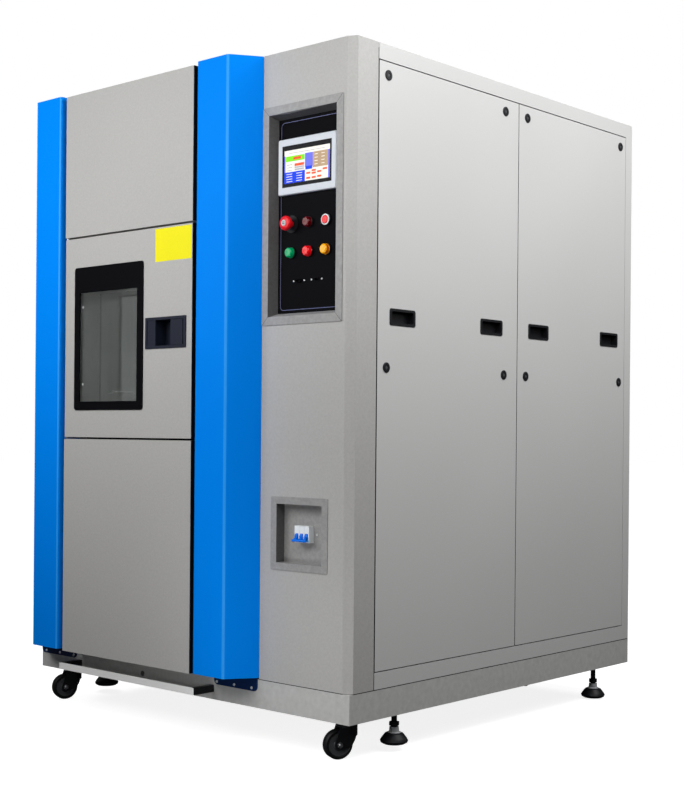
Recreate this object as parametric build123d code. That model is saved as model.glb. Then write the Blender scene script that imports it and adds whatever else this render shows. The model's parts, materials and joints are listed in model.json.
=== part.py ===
from build123d import *
import math
import os

# Three-zone thermal shock test chamber. Millimetres, Z up, the front faces -Y.
# The origin is on the floor, under the middle of the whole machine.

# Overall sizes
WIDTH = 1336.0
BODY_DEPTH = 1416.0
BODY_HEIGHT = 1808.0
WHEEL_DIAMETER = 80.0
CASTER_HEIGHT = WHEEL_DIAMETER + 26.0
PLINTH_HEIGHT = 80.0
PILLAR_PROUD = 84.0
DOOR_PROUD = PILLAR_PROUD - 8.0

# Sheet metal and clearances
SHEET = 2.0
SEAM = 6.0
PANEL_GAP = 3.0
SLIP = 0.3
RUN_FIT = 0.05

# Front layout, measured along X from the left side of the body
PILLAR_WIDTH = 184.0
PILLAR_FACE = 128.0
PILLAR_INSET = 5.0
PILLAR_CORNER = 9.0
PILLAR_GAP = 20.0
COLUMN_WIDTH = 335.0
DOOR_INSET = 204.0
DOOR_WIDTH = WIDTH - DOOR_INSET - PILLAR_GAP - PILLAR_WIDTH - 1.0 - COLUMN_WIDTH
LOWER_PANEL_TOP = 740.0
UPPER_PANEL_BOTTOM = 1364.0
UPPER_PANEL_DROP = 4.0

# Door
DOOR_BACK_GAP = 8.0
DOOR_CORNER = 8.0
PLUG_DEPTH = 22.0
PLUG_CLEARANCE = 7.0
PIVOT_RADIUS = 4.0
PIVOT_DEPTH = 14.0
GASKET_WIDTH = 14.0

# Latch
LATCH_WIDTH = 177.0
LATCH_HEIGHT = 91.0
LATCH_RIGHT_MARGIN = 24.0
LATCH_BOTTOM = 1006.0
LATCH_DEPTH = 42.0
LATCH_FLANGE = 3.0
LATCH_RIM = 8.0
LATCH_PLATE_WIDTH = 44.0
PADDLE_WIDTH = 58.0
PADDLE_THICKNESS = 6.0
PADDLE_PIN = 2.5
BOLT_RADIUS = 5.0
BOLT_REACH = 10.0
KEEPER_WIDTH = 12.0
KEEPER_HEIGHT = 34.0

# Window, measured from the door's left edge and from the plinth's underside
WINDOW_LEFT = 55.0
WINDOW_BOTTOM = LOWER_PANEL_TOP + 89.0
WINDOW_WIDTH = DOOR_WIDTH - WINDOW_LEFT - LATCH_RIGHT_MARGIN - LATCH_WIDTH - 11.0
WINDOW_HEIGHT = UPPER_PANEL_BOTTOM - LOWER_PANEL_TOP - 186.0
WINDOW_RAIL = 26.0
WINDOW_TOP_RAIL = 78.0
WINDOW_PROUD = 4.0
WINDOW_CORNER = 9.0
WINDOW_LAP = 4.0
PANE = 6.0
REVEAL_WALL = 5.0

# Zones inside the insulated body
CAVITY_WIDTH = DOOR_WIDTH - 112.0
CAVITY_BOTTOM = LOWER_PANEL_TOP + 60.0
CAVITY_HEIGHT = UPPER_PANEL_BOTTOM - LOWER_PANEL_TOP - 164.0
CAVITY_DEPTH = 450.0
ZONE_DECK = 140.0
HOT_BOTTOM = CAVITY_BOTTOM + CAVITY_HEIGHT + ZONE_DECK
HOT_HEIGHT = BODY_HEIGHT - HOT_BOTTOM - 98.0
COLD_BOTTOM = 210.0
COLD_HEIGHT = CAVITY_BOTTOM - COLD_BOTTOM - ZONE_DECK
ZONE_FRONT = 80.0
ZONE_DEPTH = 480.0
INSULATION_BOTTOM = 130.0
INSULATION_TOP = BODY_HEIGHT - 48.0
INSULATION_DEPTH = 700.0
LINER = 1.5
PORT_WIDTH = 300.0
PORT_FRONT = 200.0
PORT_DEPTH = 130.0
DAMPER_LAP = 6.0
DAMPER_THICKNESS = 4.0
DAMPER_PIN = 4.0
FAN_RADIUS = 115.0
FAN_DEPTH = 44.0
FAN_SHAFT = 8.0
FAN_SETBACK = 18.0

# Control column, measured from its own left edge
BEVEL_FRONT = 25.0
BEVEL_SIDE = 14.0
FASCIA_RETURN = 97.0
BEZEL_LEFT = 0.5
BEZEL_WIDTH = 298.0
BEZEL_BOTTOM = 1060.0
BEZEL_HEIGHT = 602.0
BEZEL_RIM = 23.0
BEZEL_PROUD = 2.5
RECESS_DEPTH = 28.0
RECESS_TAPER = 10.0
PLATE = 3.0
SCREEN_WIDTH = 216.0
SCREEN_HEIGHT = 153.0
SCREEN_BOTTOM = 1418.0
SCREEN_PROUD = 12.0
GLASS_WIDTH = 184.0
GLASS_HEIGHT = 114.0
GLASS_LIFT = 20.0
CONTROL_PITCH = 65.5
CONTROL_MIDDLE = 150.0
UPPER_ROW = 1338.0
LOWER_ROW = 1259.0
PORT_ROW = 1181.0
PORT_SHIFT = 3.5
BUTTON_RADIUS = 11.0
COLLAR_RADIUS = 15.0
COLLAR_HEIGHT = 9.0
ESTOP_RING = 24.0

# Breaker recess, measured from the column's left edge
BREAKER_X = 148.0
BREAKER_Z = 490.0
BREAKER_FLANGE_WIDTH = 212.0
BREAKER_FLANGE_HEIGHT = 201.0
BREAKER_OPEN_WIDTH = 168.0
BREAKER_OPEN_HEIGHT = 161.0
BREAKER_RECESS = 30.0
POLE_WIDTH = 18.0
POLES = 3
BREAKER_FRONT_HEIGHT = 45.0
BREAKER_BODY_HEIGHT = 80.0
BREAKER_PROUD = 19.0
TOGGLE_RADIUS = 9.0
TOGGLE_REST = -38.0

# Side panels, along Y from the column's front and up from the plinth's underside
PANEL_FRONT = 99.0
PANEL_SEAM = 750.0
PANEL_REAR = BODY_DEPTH - 40.0
PANEL_BOTTOM = 126.0
PANEL_TOP = BODY_HEIGHT - 43.0
PANEL_FOLD = 16.0
PULL_PLACES = (205.0, 617.0, 863.0, BODY_DEPTH - 140.0)
PULL_HEIGHT_AT = 1080.0
PULL_WIDTH = 110.0
PULL_HEIGHT = 46.0
PULL_DEPTH = 22.0
LOCK_PLACES = (137.5, 680.5, 795.0, BODY_DEPTH - 75.5)
LOCK_HEIGHTS = (942.5, PANEL_TOP - 38.0)
LOCK_RADIUS = 14.0
LOCK_PROUD = 3.0
POST = 40.0
REAR_SET = 36.0
LEDGE = 3.0

# Step bar
STEP_LEFT = DOOR_INSET - 10.0
STEP_RIGHT = DOOR_INSET + DOOR_WIDTH + 22.0
STEP_BOTTOM = 22.0
STEP_HEIGHT = 20.0
STEP_PROUD = 78.0
STEP_ARM = 14.0

# Running gear
CASTER_X = 69.0
CASTER_REAR_X = 345.0
CASTER_Y = 68.5
CASTER_REAR_Y = BODY_DEPTH - 110.0
CASTER_TRAIL = 26.0
CASTER_ANGLES = {"front_left": -21.5, "front_right": -26.4, "rear_left": 20.0, "rear_right": 35.0}
CASTER_PLATE = 60.0
CASTER_CROWN = 29.0
CASTER_WALL = 3.0
WHEEL_WIDTH = 28.0
AXLE_RADIUS = 5.0
KINGPIN_RADIUS = 6.0
FOOT_X = 40.0
FOOT_FRONT_Y = 232.0
FOOT_REAR_Y = BODY_DEPTH - 154.0
FOOT_FRONT_LIFT = 18.0
FOOT_REAR_LIFT = 4.0
FOOT_RADIUS = 39.0
STUD_RADIUS = 8.0

# Services on the rear
GLAND_X = 480.0
GLAND_Z = 700.0
GLAND_BORE = 9.0
WATER_X = (-300.0, -180.0)
WATER_Z = 180.0
WATER_RADIUS = 13.2
WATER_LENGTH = 28.0

# Planes that follow from the sizes above
LEFT = -WIDTH / 2
RIGHT = WIDTH / 2
FACE_Y = -(BODY_DEPTH - PILLAR_PROUD) / 2
BACK_Y = FACE_Y + BODY_DEPTH
PILLAR_Y = FACE_Y - PILLAR_PROUD
DOOR_Y = FACE_Y - DOOR_PROUD
UNDER_Z = CASTER_HEIGHT
PLINTH_Z = UNDER_Z + PLINTH_HEIGHT
TOP_Z = UNDER_Z + BODY_HEIGHT
COLUMN_X = RIGHT - COLUMN_WIDTH
FRAME_RIGHT_X = COLUMN_X - 1.0
DOOR_X0 = LEFT + DOOR_INSET
DOOR_X1 = DOOR_X0 + DOOR_WIDTH
DOOR_Z0 = UNDER_Z + LOWER_PANEL_TOP + SEAM
DOOR_Z1 = UNDER_Z + UPPER_PANEL_BOTTOM - SEAM
DOOR_BACK_Y = FACE_Y - DOOR_BACK_GAP
HINGE_X = DOOR_X0 + DOOR_CORNER
HINGE_Y = DOOR_Y + DOOR_CORNER
CAVITY_X = (DOOR_X0 + DOOR_X1) / 2
CAVITY_Z0 = UNDER_Z + CAVITY_BOTTOM
CAVITY_Z1 = CAVITY_Z0 + CAVITY_HEIGHT
INSULATION_Y0 = FACE_Y + SHEET
INSULATION_X0 = LEFT + POST + 8.0
INSULATION_X1 = FRAME_RIGHT_X - 4.0
HOT_Z0 = UNDER_Z + HOT_BOTTOM
HOT_Z1 = HOT_Z0 + HOT_HEIGHT
COLD_Z0 = UNDER_Z + COLD_BOTTOM
COLD_Z1 = COLD_Z0 + COLD_HEIGHT
ZONE_Y0 = FACE_Y + ZONE_FRONT
ZONE_Y1 = ZONE_Y0 + ZONE_DEPTH
PORT_Y0 = FACE_Y + PORT_FRONT
PORT_Y1 = PORT_Y0 + PORT_DEPTH
INSULATION_BACK_Y = FACE_Y + INSULATION_DEPTH


def block(x0, x1, y0, y1, z0, z1):
    middle = Pos((x0 + x1) / 2, (y0 + y1) / 2, (z0 + z1) / 2)
    return middle * Box(x1 - x0, y1 - y0, z1 - z0)


def rod_x(radius, x0, x1, y, z):
    return Pos((x0 + x1) / 2, y, z) * Rot(0, 90, 0) * Cylinder(radius, x1 - x0)


def rod_y(radius, x, y0, y1, z):
    return Pos(x, (y0 + y1) / 2, z) * Rot(90, 0, 0) * Cylinder(radius, y1 - y0)


def rod_z(radius, x, y, z0, z1):
    return Pos(x, y, (z0 + z1) / 2) * Cylinder(radius, z1 - z0)


def upright(points, z0, z1):
    """A vertical prism over an outline in the XY plane."""
    outline = make_face(Polyline(*points, close=True))
    return Pos(0, 0, z0) * extrude(outline, z1 - z0)


def frontal(width, height, radius, x, z, y0, y1):
    """A rounded rectangle facing the front, between two Y planes."""
    face = RectangleRounded(width, height, radius)
    return Plane(origin=(x, y1, z), x_dir=(1, 0, 0), z_dir=(0, -1, 0)) * extrude(face, y1 - y0)


def spun(points, place):
    """A solid of revolution about the local Z of a place, from an (r, z) outline."""
    outline = make_face(Polyline(*points, close=True))
    return place * revolve(Plane.XZ * outline, Axis.Z)


def facing_front(x, y, z):
    """A place whose local Z points at the front."""
    return Plane(origin=(x, y, z), x_dir=(1, 0, 0), z_dir=(0, -1, 0))


def vertical_edges(solid, x, y):
    """The upright edges of a solid nearest to a point of its plan."""
    edges = solid.edges().filter_by(Axis.Z)
    return edges.sort_by(lambda e: math.hypot(e.center().X - x, e.center().Y - y))[:1]


def base_frame():
    outer = block(LEFT, RIGHT, FACE_Y, BACK_Y, UNDER_Z, PLINTH_Z)
    web = 3.0
    lip = 60.0
    floor = 3.0
    inner = block(LEFT + web, RIGHT - web, FACE_Y + web, BACK_Y - web, UNDER_Z + web, PLINTH_Z - floor)
    mouth = block(LEFT + lip, RIGHT - lip, FACE_Y + lip, BACK_Y - lip, UNDER_Z - 1, UNDER_Z + web + 1)
    frame = outer - inner - mouth
    for side in (-1, 1):
        x = side * (RIGHT - CASTER_REAR_X)
        frame += block(x - 50, x + 50, FACE_Y + web, BACK_Y - web, UNDER_Z, UNDER_Z + web)
        x0, x1 = sorted((x - side * 50, x - side * (50 - web)))
        frame += block(x0, x1, FACE_Y + web, BACK_Y - web, UNDER_Z, PLINTH_Z - floor)
    for x in (LEFT + CASTER_X, RIGHT - CASTER_X):
        frame += block(x - 48, x + 48, FACE_Y + web, FACE_Y + 2 * CASTER_Y - web, UNDER_Z, UNDER_Z + web)
    for x, y in foot_places():
        frame += rod_z(STUD_RADIUS + 9, x, y, UNDER_Z, UNDER_Z + 30)
        frame -= rod_z(STUD_RADIUS + RUN_FIT, x, y, UNDER_Z - 1, UNDER_Z + 60)
    frame -= rod_y(9, CAVITY_X + 2, FACE_Y - 1, FACE_Y + web + 1, UNDER_Z + 35)
    return frame


def foot_places():
    return [
        (side * (RIGHT - FOOT_X), FACE_Y + y)
        for y in (FOOT_FRONT_Y, FOOT_REAR_Y)
        for side in (-1, 1)
    ]


def cabinet_frame():
    z0 = PLINTH_Z
    rail_z1 = UNDER_Z + PANEL_BOTTOM
    rail_z2 = UNDER_Z + PANEL_TOP
    cross_z = TOP_Z - 2 * SHEET
    front_y = FACE_Y + PANEL_FRONT
    rear_y = FACE_Y + PANEL_REAR
    frame = None
    for side in (-1, 1):
        outer = side * RIGHT
        inner = side * (RIGHT - POST)
        x0, x1 = sorted((outer, inner))
        rear_post = block(x0, x1, rear_y, BACK_Y, z0, TOP_Z)
        top_rail = block(x0, x1, front_y, rear_y, rail_z2, TOP_Z)
        bottom_rail = block(x0, x1, front_y, rear_y, z0, rail_z1)
        m0, m1 = sorted((side * (RIGHT - POST), side * (RIGHT - PANEL_FOLD)))
        seam_y = FACE_Y + PANEL_SEAM
        mullion = block(m0, m1, seam_y - 20, seam_y + 20, rail_z1, rail_z2)
        side_frame = rear_post + top_rail + bottom_rail + mullion
        frame = side_frame if frame is None else frame + side_frame
    frame += block(LEFT, LEFT + POST, FACE_Y + SHEET, front_y, z0, TOP_Z)
    post_x1 = RIGHT - 6.0
    frame += block(RIGHT - POST, post_x1, FACE_Y + 60, FACE_Y + FASCIA_RETURN - SHEET - 2, z0, cross_z)
    frame += block(RIGHT - POST, RIGHT - POST + 12, FACE_Y + 60, front_y, rail_z2, cross_z)
    frame += block(RIGHT - POST, RIGHT - POST + 12, FACE_Y + 60, front_y, z0, rail_z1)
    for y0, y1 in ((FACE_Y + 60, FACE_Y + 100), (BACK_Y - POST, BACK_Y)):
        frame += block(LEFT + POST, RIGHT - POST, y0, y1, rail_z2, cross_z)
        frame += block(LEFT + POST, RIGHT - POST, y0, y1, z0, rail_z1)
    return frame + rear_ledge()


def rear_ledge():
    """The strip round the rear opening that the rear panels lie against."""
    y1 = BACK_Y - REAR_SET - SHEET
    z0 = UNDER_Z + PANEL_BOTTOM - 8
    z1 = UNDER_Z + PANEL_TOP + 8
    strip = 14.0
    ring = block(LEFT + POST - 8, RIGHT - POST + 8, y1 - LEDGE, y1, z0, z1)
    inner_z0 = UNDER_Z + PANEL_BOTTOM + strip
    inner_z1 = UNDER_Z + PANEL_TOP - strip
    for x0, x1 in ((LEFT + POST + strip, -strip), (strip, RIGHT - POST - strip)):
        ring -= block(x0, x1, y1 - LEDGE - 1, y1 + 1, inner_z0, inner_z1)
    return ring


def front_frame():
    plate = block(LEFT, FRAME_RIGHT_X, FACE_Y, FACE_Y + SHEET, PLINTH_Z, TOP_Z - 2 * SHEET)
    return plate - cavity_block(FACE_Y - 1, FACE_Y + SHEET + 1, 0)


def cavity_block(y0, y1, inset):
    half = CAVITY_WIDTH / 2 - inset
    return block(CAVITY_X - half, CAVITY_X + half, y0, y1, CAVITY_Z0 + inset, CAVITY_Z1 - inset)


def top_cover():
    z0 = TOP_Z - 2 * SHEET
    cover = block(LEFT + POST, RIGHT - POST, FACE_Y + 4, BACK_Y, z0, z0 + SHEET)
    fold = 14.0
    for x0 in (LEFT + POST + 60, RIGHT - POST - 60 - fold):
        cover += block(x0, x0 + fold, FACE_Y + 110, BACK_Y - POST - 10, z0 - fold, z0)
    return cover


def side_panel(side, y0, y1, pulls, locks):
    """One removable side panel: a pan with its folds turned inwards."""
    x1 = RIGHT
    z0 = UNDER_Z + PANEL_BOTTOM + PANEL_GAP
    z1 = UNDER_Z + PANEL_TOP - PANEL_GAP
    pan = block(x1 - PANEL_FOLD, x1, y0 + PANEL_GAP / 2, y1 - PANEL_GAP / 2, z0, z1)
    hollow = block(
        x1 - PANEL_FOLD - 1, x1 - SHEET,
        y0 + PANEL_GAP / 2 + SHEET, y1 - PANEL_GAP / 2 - SHEET, z0 + SHEET, z1 - SHEET,
    )
    pan -= hollow
    for y in pulls:
        z = UNDER_Z + PULL_HEIGHT_AT
        grow = 1.0
        pan -= block(
            x1 - 10, x1 + 1, y - PULL_WIDTH / 2 + grow, y + PULL_WIDTH / 2 - grow,
            z - PULL_HEIGHT / 2 + grow, z + PULL_HEIGHT / 2 - grow,
        )
    for y in locks:
        for height in LOCK_HEIGHTS:
            pan -= rod_x(LOCK_RADIUS - 3, x1 - 10, x1 + 1, y, UNDER_Z + height)
    return pan if side > 0 else pan.mirror(Plane.YZ)


def side_panels():
    front = (FACE_Y + PANEL_FRONT, FACE_Y + PANEL_SEAM)
    rear = (FACE_Y + PANEL_SEAM, FACE_Y + PANEL_REAR)
    pulls = [FACE_Y + y for y in PULL_PLACES]
    locks = [FACE_Y + y for y in LOCK_PLACES]
    panels = []
    for side in (-1, 1):
        panels.append(side_panel(side, *front, pulls[:2], locks[:2]))
        panels.append(side_panel(side, *rear, pulls[2:], locks[2:]))
    return panels


def cup_pull(y):
    """A recessed cup pull: rounded lip outside, deep pocket inside."""
    place = Plane(origin=(RIGHT, y, UNDER_Z + PULL_HEIGHT_AT), x_dir=(0, 1, 0), z_dir=(1, 0, 0))
    lip = extrude(RectangleRounded(PULL_WIDTH, PULL_HEIGHT, 7), 1.5)
    body = Pos(0, 0, -PULL_DEPTH) * extrude(RectangleRounded(PULL_WIDTH - 4, PULL_HEIGHT - 4, 2), PULL_DEPTH)
    pocket = Pos(0, 0, 3 - PULL_DEPTH) * extrude(
        RectangleRounded(PULL_WIDTH - 16, PULL_HEIGHT - 14, 5), PULL_DEPTH
    )
    return place * (lip + body - pocket)


def panel_pulls():
    right = [cup_pull(FACE_Y + y) for y in PULL_PLACES]
    return right + [pull.mirror(Plane.YZ) for pull in right]


def quarter_turn_lock(y, z):
    place = Plane(origin=(RIGHT, y, z), x_dir=(0, 1, 0), z_dir=(1, 0, 0))
    stem = LOCK_RADIUS - 3 - SLIP
    outline = [
        (0, -24), (stem, -24), (stem, 0), (LOCK_RADIUS, 0), (LOCK_RADIUS, LOCK_PROUD - 1),
        (LOCK_RADIUS - 2, LOCK_PROUD), (6, LOCK_PROUD), (5, 0.5), (0, 0.5),
    ]
    cam = block(-7, 24, -6, 6, -27, -24)
    return spun(outline, place) + place * cam


def panel_locks():
    right = [
        quarter_turn_lock(FACE_Y + y, UNDER_Z + height)
        for y in LOCK_PLACES
        for height in LOCK_HEIGHTS
    ]
    return right + [lock.mirror(Plane.YZ) for lock in right]


def rear_panel(x0, x1):
    """One rear panel, with a field of pressed louvres low down."""
    z0 = UNDER_Z + PANEL_BOTTOM + PANEL_GAP
    z1 = UNDER_Z + PANEL_TOP - PANEL_GAP
    y1 = BACK_Y - REAR_SET
    panel = block(x0 + PANEL_GAP / 2, x1 - PANEL_GAP / 2, y1 - SHEET, y1, z0, z1)
    for x, z, radius, _ in service_places():
        panel -= rod_y(radius + SLIP, x, y1 - SHEET - 1, y1 + 1, z)
    middle = (x0 + x1) / 2
    slots = 9
    length = 300.0
    for row in range(slots):
        z = UNDER_Z + 260 + row * 34
        slot = block(middle - length / 2, middle + length / 2, y1 - SHEET - 1, y1 + 1, z, z + 9)
        hood_outline = make_face(Polyline((0, -9), (0, -11), (2, -11), (11, 0), (9.6, 0), (2, -9), close=True))
        hood = Plane(origin=(middle + length / 2, y1 - SHEET, z), x_dir=(0, 1, 0), z_dir=(-1, 0, 0)) * extrude(
            hood_outline, length
        )
        panel = panel - slot + hood
    return panel


def rear_panels():
    return [rear_panel(LEFT + POST, 0), rear_panel(0, RIGHT - POST)]


def fascia_profile(inset):
    """Outline of the folded corner: flat front, bevel, side return."""
    x1 = RIGHT - inset
    y0 = FACE_Y + inset
    return [
        (COLUMN_X, y0), (RIGHT - BEVEL_FRONT - inset * 0.2, y0), (x1, FACE_Y + BEVEL_SIDE + inset * 0.7),
        (x1, FACE_Y + FASCIA_RETURN),
    ]


def control_fascia():
    outer = fascia_profile(0)
    inner = fascia_profile(SHEET)
    skin = upright(outer + inner[::-1], PLINTH_Z, TOP_Z)
    fold = 20.0
    skin += block(COLUMN_X, COLUMN_X + SHEET, FACE_Y + SHEET, FACE_Y + fold, PLINTH_Z, TOP_Z - 2 * SHEET)
    end_y = FACE_Y + FASCIA_RETURN
    skin += block(RIGHT - 5.5, RIGHT - SHEET, end_y - SHEET, end_y, PLINTH_Z, TOP_Z)
    top = upright(
        [(COLUMN_X, FACE_Y + SHEET), (RIGHT - BEVEL_FRONT, FACE_Y + SHEET),
         (RIGHT - SHEET, FACE_Y + BEVEL_SIDE + SHEET), (RIGHT - SHEET, end_y), (RIGHT - POST, end_y),
         (RIGHT - POST, FACE_Y + fold), (COLUMN_X, FACE_Y + fold)],
        TOP_Z - SHEET, TOP_Z,
    )
    skin += top
    skin -= bezel_tunnel(FACE_Y - 1, FACE_Y + SHEET + 1, SHEET + 1)
    open_w = BREAKER_OPEN_WIDTH + 2 * SHEET + 1
    open_h = BREAKER_OPEN_HEIGHT + 2 * SHEET + 1
    x = COLUMN_X + BREAKER_X
    z = UNDER_Z + BREAKER_Z
    skin -= block(x - open_w / 2, x + open_w / 2, FACE_Y - 1, FACE_Y + SHEET + 1, z - open_h / 2, z + open_h / 2)
    return skin


def bezel_middle():
    return COLUMN_X + BEZEL_LEFT + BEZEL_WIDTH / 2, UNDER_Z + BEZEL_BOTTOM + BEZEL_HEIGHT / 2


def bezel_tunnel(y0, y1, grow):
    x, z = bezel_middle()
    width = BEZEL_WIDTH - 2 * BEZEL_RIM + 2 * grow
    height = BEZEL_HEIGHT - 2 * BEZEL_RIM + 2 * grow
    return block(x - width / 2, x + width / 2, y0, y1, z - height / 2, z + height / 2)


def tapered_recess(grow, y0, y1):
    """A hopper between the bezel's mouth and the control plate."""
    x, z = bezel_middle()
    mouth_w = BEZEL_WIDTH - 2 * BEZEL_RIM + 2 * grow
    mouth_h = BEZEL_HEIGHT - 2 * BEZEL_RIM + 2 * grow
    front = Plane(origin=(x, y0, z), x_dir=(1, 0, 0), z_dir=(0, -1, 0)) * Rectangle(mouth_w, mouth_h)
    back = Plane(origin=(x, y1, z), x_dir=(1, 0, 0), z_dir=(0, -1, 0)) * Rectangle(
        mouth_w - 2 * RECESS_TAPER, mouth_h - 2 * RECESS_TAPER
    )
    return loft([front, back])


def control_bezel():
    x, z = bezel_middle()
    front_y = FACE_Y - BEZEL_PROUD
    rim = frontal(BEZEL_WIDTH, BEZEL_HEIGHT, 4, x, z, front_y, FACE_Y)
    wall = SHEET
    tunnel = tapered_recess(wall, FACE_Y, FACE_Y + RECESS_DEPTH)
    end_w = BEZEL_WIDTH - 2 * BEZEL_RIM - 2 * RECESS_TAPER
    end_h = BEZEL_HEIGHT - 2 * BEZEL_RIM - 2 * RECESS_TAPER
    seat = frontal(end_w + 2 * wall, end_h + 2 * wall, 1, x, z, FACE_Y + RECESS_DEPTH, FACE_Y + RECESS_DEPTH + PLATE)
    bezel = rim + tunnel + seat
    bezel -= tapered_recess(0, front_y, FACE_Y + RECESS_DEPTH)
    bezel -= block(
        x - end_w / 2, x + end_w / 2, FACE_Y + RECESS_DEPTH - 1, FACE_Y + RECESS_DEPTH + PLATE + 1,
        z - end_h / 2, z + end_h / 2,
    )
    return bezel


def control_columns():
    return [COLUMN_X + CONTROL_MIDDLE + step * CONTROL_PITCH for step in (-1, 0, 1)]


def control_plate():
    x, z = bezel_middle()
    width = BEZEL_WIDTH - 2 * BEZEL_RIM - 2 * RECESS_TAPER
    height = BEZEL_HEIGHT - 2 * BEZEL_RIM - 2 * RECESS_TAPER
    y0 = FACE_Y + RECESS_DEPTH
    plate = block(x - width / 2, x + width / 2, y0, y0 + PLATE, z - height / 2, z + height / 2)
    left, middle, right = control_columns()
    upper = UNDER_Z + UPPER_ROW
    lower = UNDER_Z + LOWER_ROW
    for column in (left, right):
        plate -= rod_y(8 + RUN_FIT, column, y0 - 1, y0 + PLATE + 1, upper)
    plate -= rod_y(10, middle, y0 - 1, y0 + PLATE + 1, upper)
    for column in (left, middle, right):
        plate -= rod_y(10, column, y0 - 1, y0 + PLATE + 1, lower)
    sx, sz = screen_middle()
    plate -= block(sx - 96, sx + 96, y0 - 1, y0 + PLATE + 1, sz - 68, sz + 68)
    for port_x, half_w, half_h in data_port_places():
        z1 = UNDER_Z + PORT_ROW
        plate -= block(port_x - half_w, port_x + half_w, y0 - 1, y0 + PLATE + 1, z1 - half_h, z1 + half_h)
    return [plate, button_collar(right, y0, upper), button_ring(left, y0, upper)]


def button_collar(x, y, z):
    """Round shroud that the power button moves in."""
    outline = [
        (BUTTON_RADIUS + 0.8, 0), (COLLAR_RADIUS, 0), (COLLAR_RADIUS, COLLAR_HEIGHT - 1.5),
        (COLLAR_RADIUS - 1.5, COLLAR_HEIGHT), (BUTTON_RADIUS + 0.8, COLLAR_HEIGHT),
    ]
    return spun(outline, facing_front(x, y, z))


def button_ring(x, y, z):
    """Plain disc clamped under the emergency stop."""
    outline = [(8 + RUN_FIT, 0), (ESTOP_RING, 0), (ESTOP_RING, 1.5), (8 + RUN_FIT, 1.5)]
    return spun(outline, facing_front(x, y, z))


def screen_middle():
    x, _ = bezel_middle()
    return x, UNDER_Z + SCREEN_BOTTOM + SCREEN_HEIGHT / 2


def screen_housing():
    x, z = screen_middle()
    y0 = FACE_Y + RECESS_DEPTH
    flange = frontal(SCREEN_WIDTH, SCREEN_HEIGHT, 5, x, z, y0 - SCREEN_PROUD, y0)
    flange = chamfer(flange.faces().sort_by(Axis.Y)[0].edges(), 2)
    body = block(x - 95, x + 95, y0, y0 + 36, z - 67, z + 67)
    return flange + body - glass_block(y0 - SCREEN_PROUD - 1, y0 - SCREEN_PROUD + 3)


def glass_block(y0, y1):
    x, _ = screen_middle()
    z0 = UNDER_Z + SCREEN_BOTTOM + GLASS_LIFT
    return block(x - GLASS_WIDTH / 2, x + GLASS_WIDTH / 2, y0, y1, z0, z0 + GLASS_HEIGHT)


def screen_glass():
    front = FACE_Y + RECESS_DEPTH - SCREEN_PROUD
    return glass_block(front + 0.6, front + 3)


def signal_lamps():
    left, middle, right = control_columns()
    y = FACE_Y + RECESS_DEPTH
    places = [(middle, UPPER_ROW), (left, LOWER_ROW), (middle, LOWER_ROW), (right, LOWER_ROW)]
    outline = [(0, -25), (9.7, -25), (9.7, 0), (15, 0), (15, 4), (13.5, 5), (13, 14), (10, 17), (0, 17.5)]
    return [spun(outline, facing_front(x, y, UNDER_Z + row)) for x, row in places]


def data_port_places():
    x = COLUMN_X + CONTROL_MIDDLE - PORT_SHIFT
    return [(x - 33, 15.0, 6.0), (x + 33, 13.0, 5.0)]


def data_ports():
    """A nine-pole serial socket and a panel-mount USB socket."""
    y0 = FACE_Y + RECESS_DEPTH
    z = UNDER_Z + PORT_ROW
    serial_x, serial_w, serial_h = data_port_places()[0]
    usb_x, usb_w, usb_h = data_port_places()[1]
    shell = make_face(Polyline((-10, 4.5), (10, 4.5), (8.4, -4.5), (-8.4, -4.5), close=True))
    serial = block(serial_x - serial_w, serial_x + serial_w, y0, y0 + 8, z - serial_h, z + serial_h)
    serial += facing_front(serial_x, y0, z) * extrude(shell, 5)
    mouth = make_face(Polyline((-8.6, 3.3), (8.6, 3.3), (7.2, -3.3), (-7.2, -3.3), close=True))
    serial -= facing_front(serial_x, y0 + 1, z) * extrude(mouth, 7)
    usb = block(usb_x - usb_w, usb_x + usb_w, y0, y0 + 10, z - usb_h, z + usb_h)
    usb += block(usb_x - 8, usb_x + 8, y0 - 2, y0, z - 4.5, z + 4.5)
    usb -= block(usb_x - 6.4, usb_x + 6.4, y0 - 3, y0 + 7, z - 2.6, z + 2.6)
    return [serial, usb]


def estop_button():
    x = control_columns()[0]
    place = facing_front(x, FACE_Y + RECESS_DEPTH, UNDER_Z + UPPER_ROW)
    outline = [
        (0, -22), (8, -22), (8, 8), (13, 10), (14, 19), (19.5, 20), (20.5, 23), (20, 27), (17, 31),
        (11, 32.5), (0, 33),
    ]
    return spun(outline, place)


def power_button():
    x = control_columns()[2]
    place = facing_front(x, FACE_Y + RECESS_DEPTH, UNDER_Z + UPPER_ROW)
    r = BUTTON_RADIUS
    outline = [(0, -20), (8, -20), (8, 4), (r, 4), (r, 9.4), (r - 1, 10.2), (0, 10.6)]
    return spun(outline, place)


def breaker_recess():
    x = COLUMN_X + BREAKER_X
    z = UNDER_Z + BREAKER_Z
    flange = frontal(BREAKER_FLANGE_WIDTH, BREAKER_FLANGE_HEIGHT, 5, x, z, FACE_Y - SHEET, FACE_Y)
    w = BREAKER_OPEN_WIDTH / 2
    h = BREAKER_OPEN_HEIGHT / 2
    end = FACE_Y + BREAKER_RECESS + SHEET
    box = block(x - w - SHEET, x + w + SHEET, FACE_Y, end, z - h - SHEET, z + h + SHEET)
    recess = flange + box - block(x - w, x + w, FACE_Y - SHEET - 1, FACE_Y + BREAKER_RECESS, z - h, z + h)
    bw = POLE_WIDTH * POLES / 2 + SLIP
    bh = BREAKER_FRONT_HEIGHT / 2 + SLIP
    return recess - block(x - bw, x + bw, FACE_Y + 1, end + 1, z - bh, z + bh)


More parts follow.
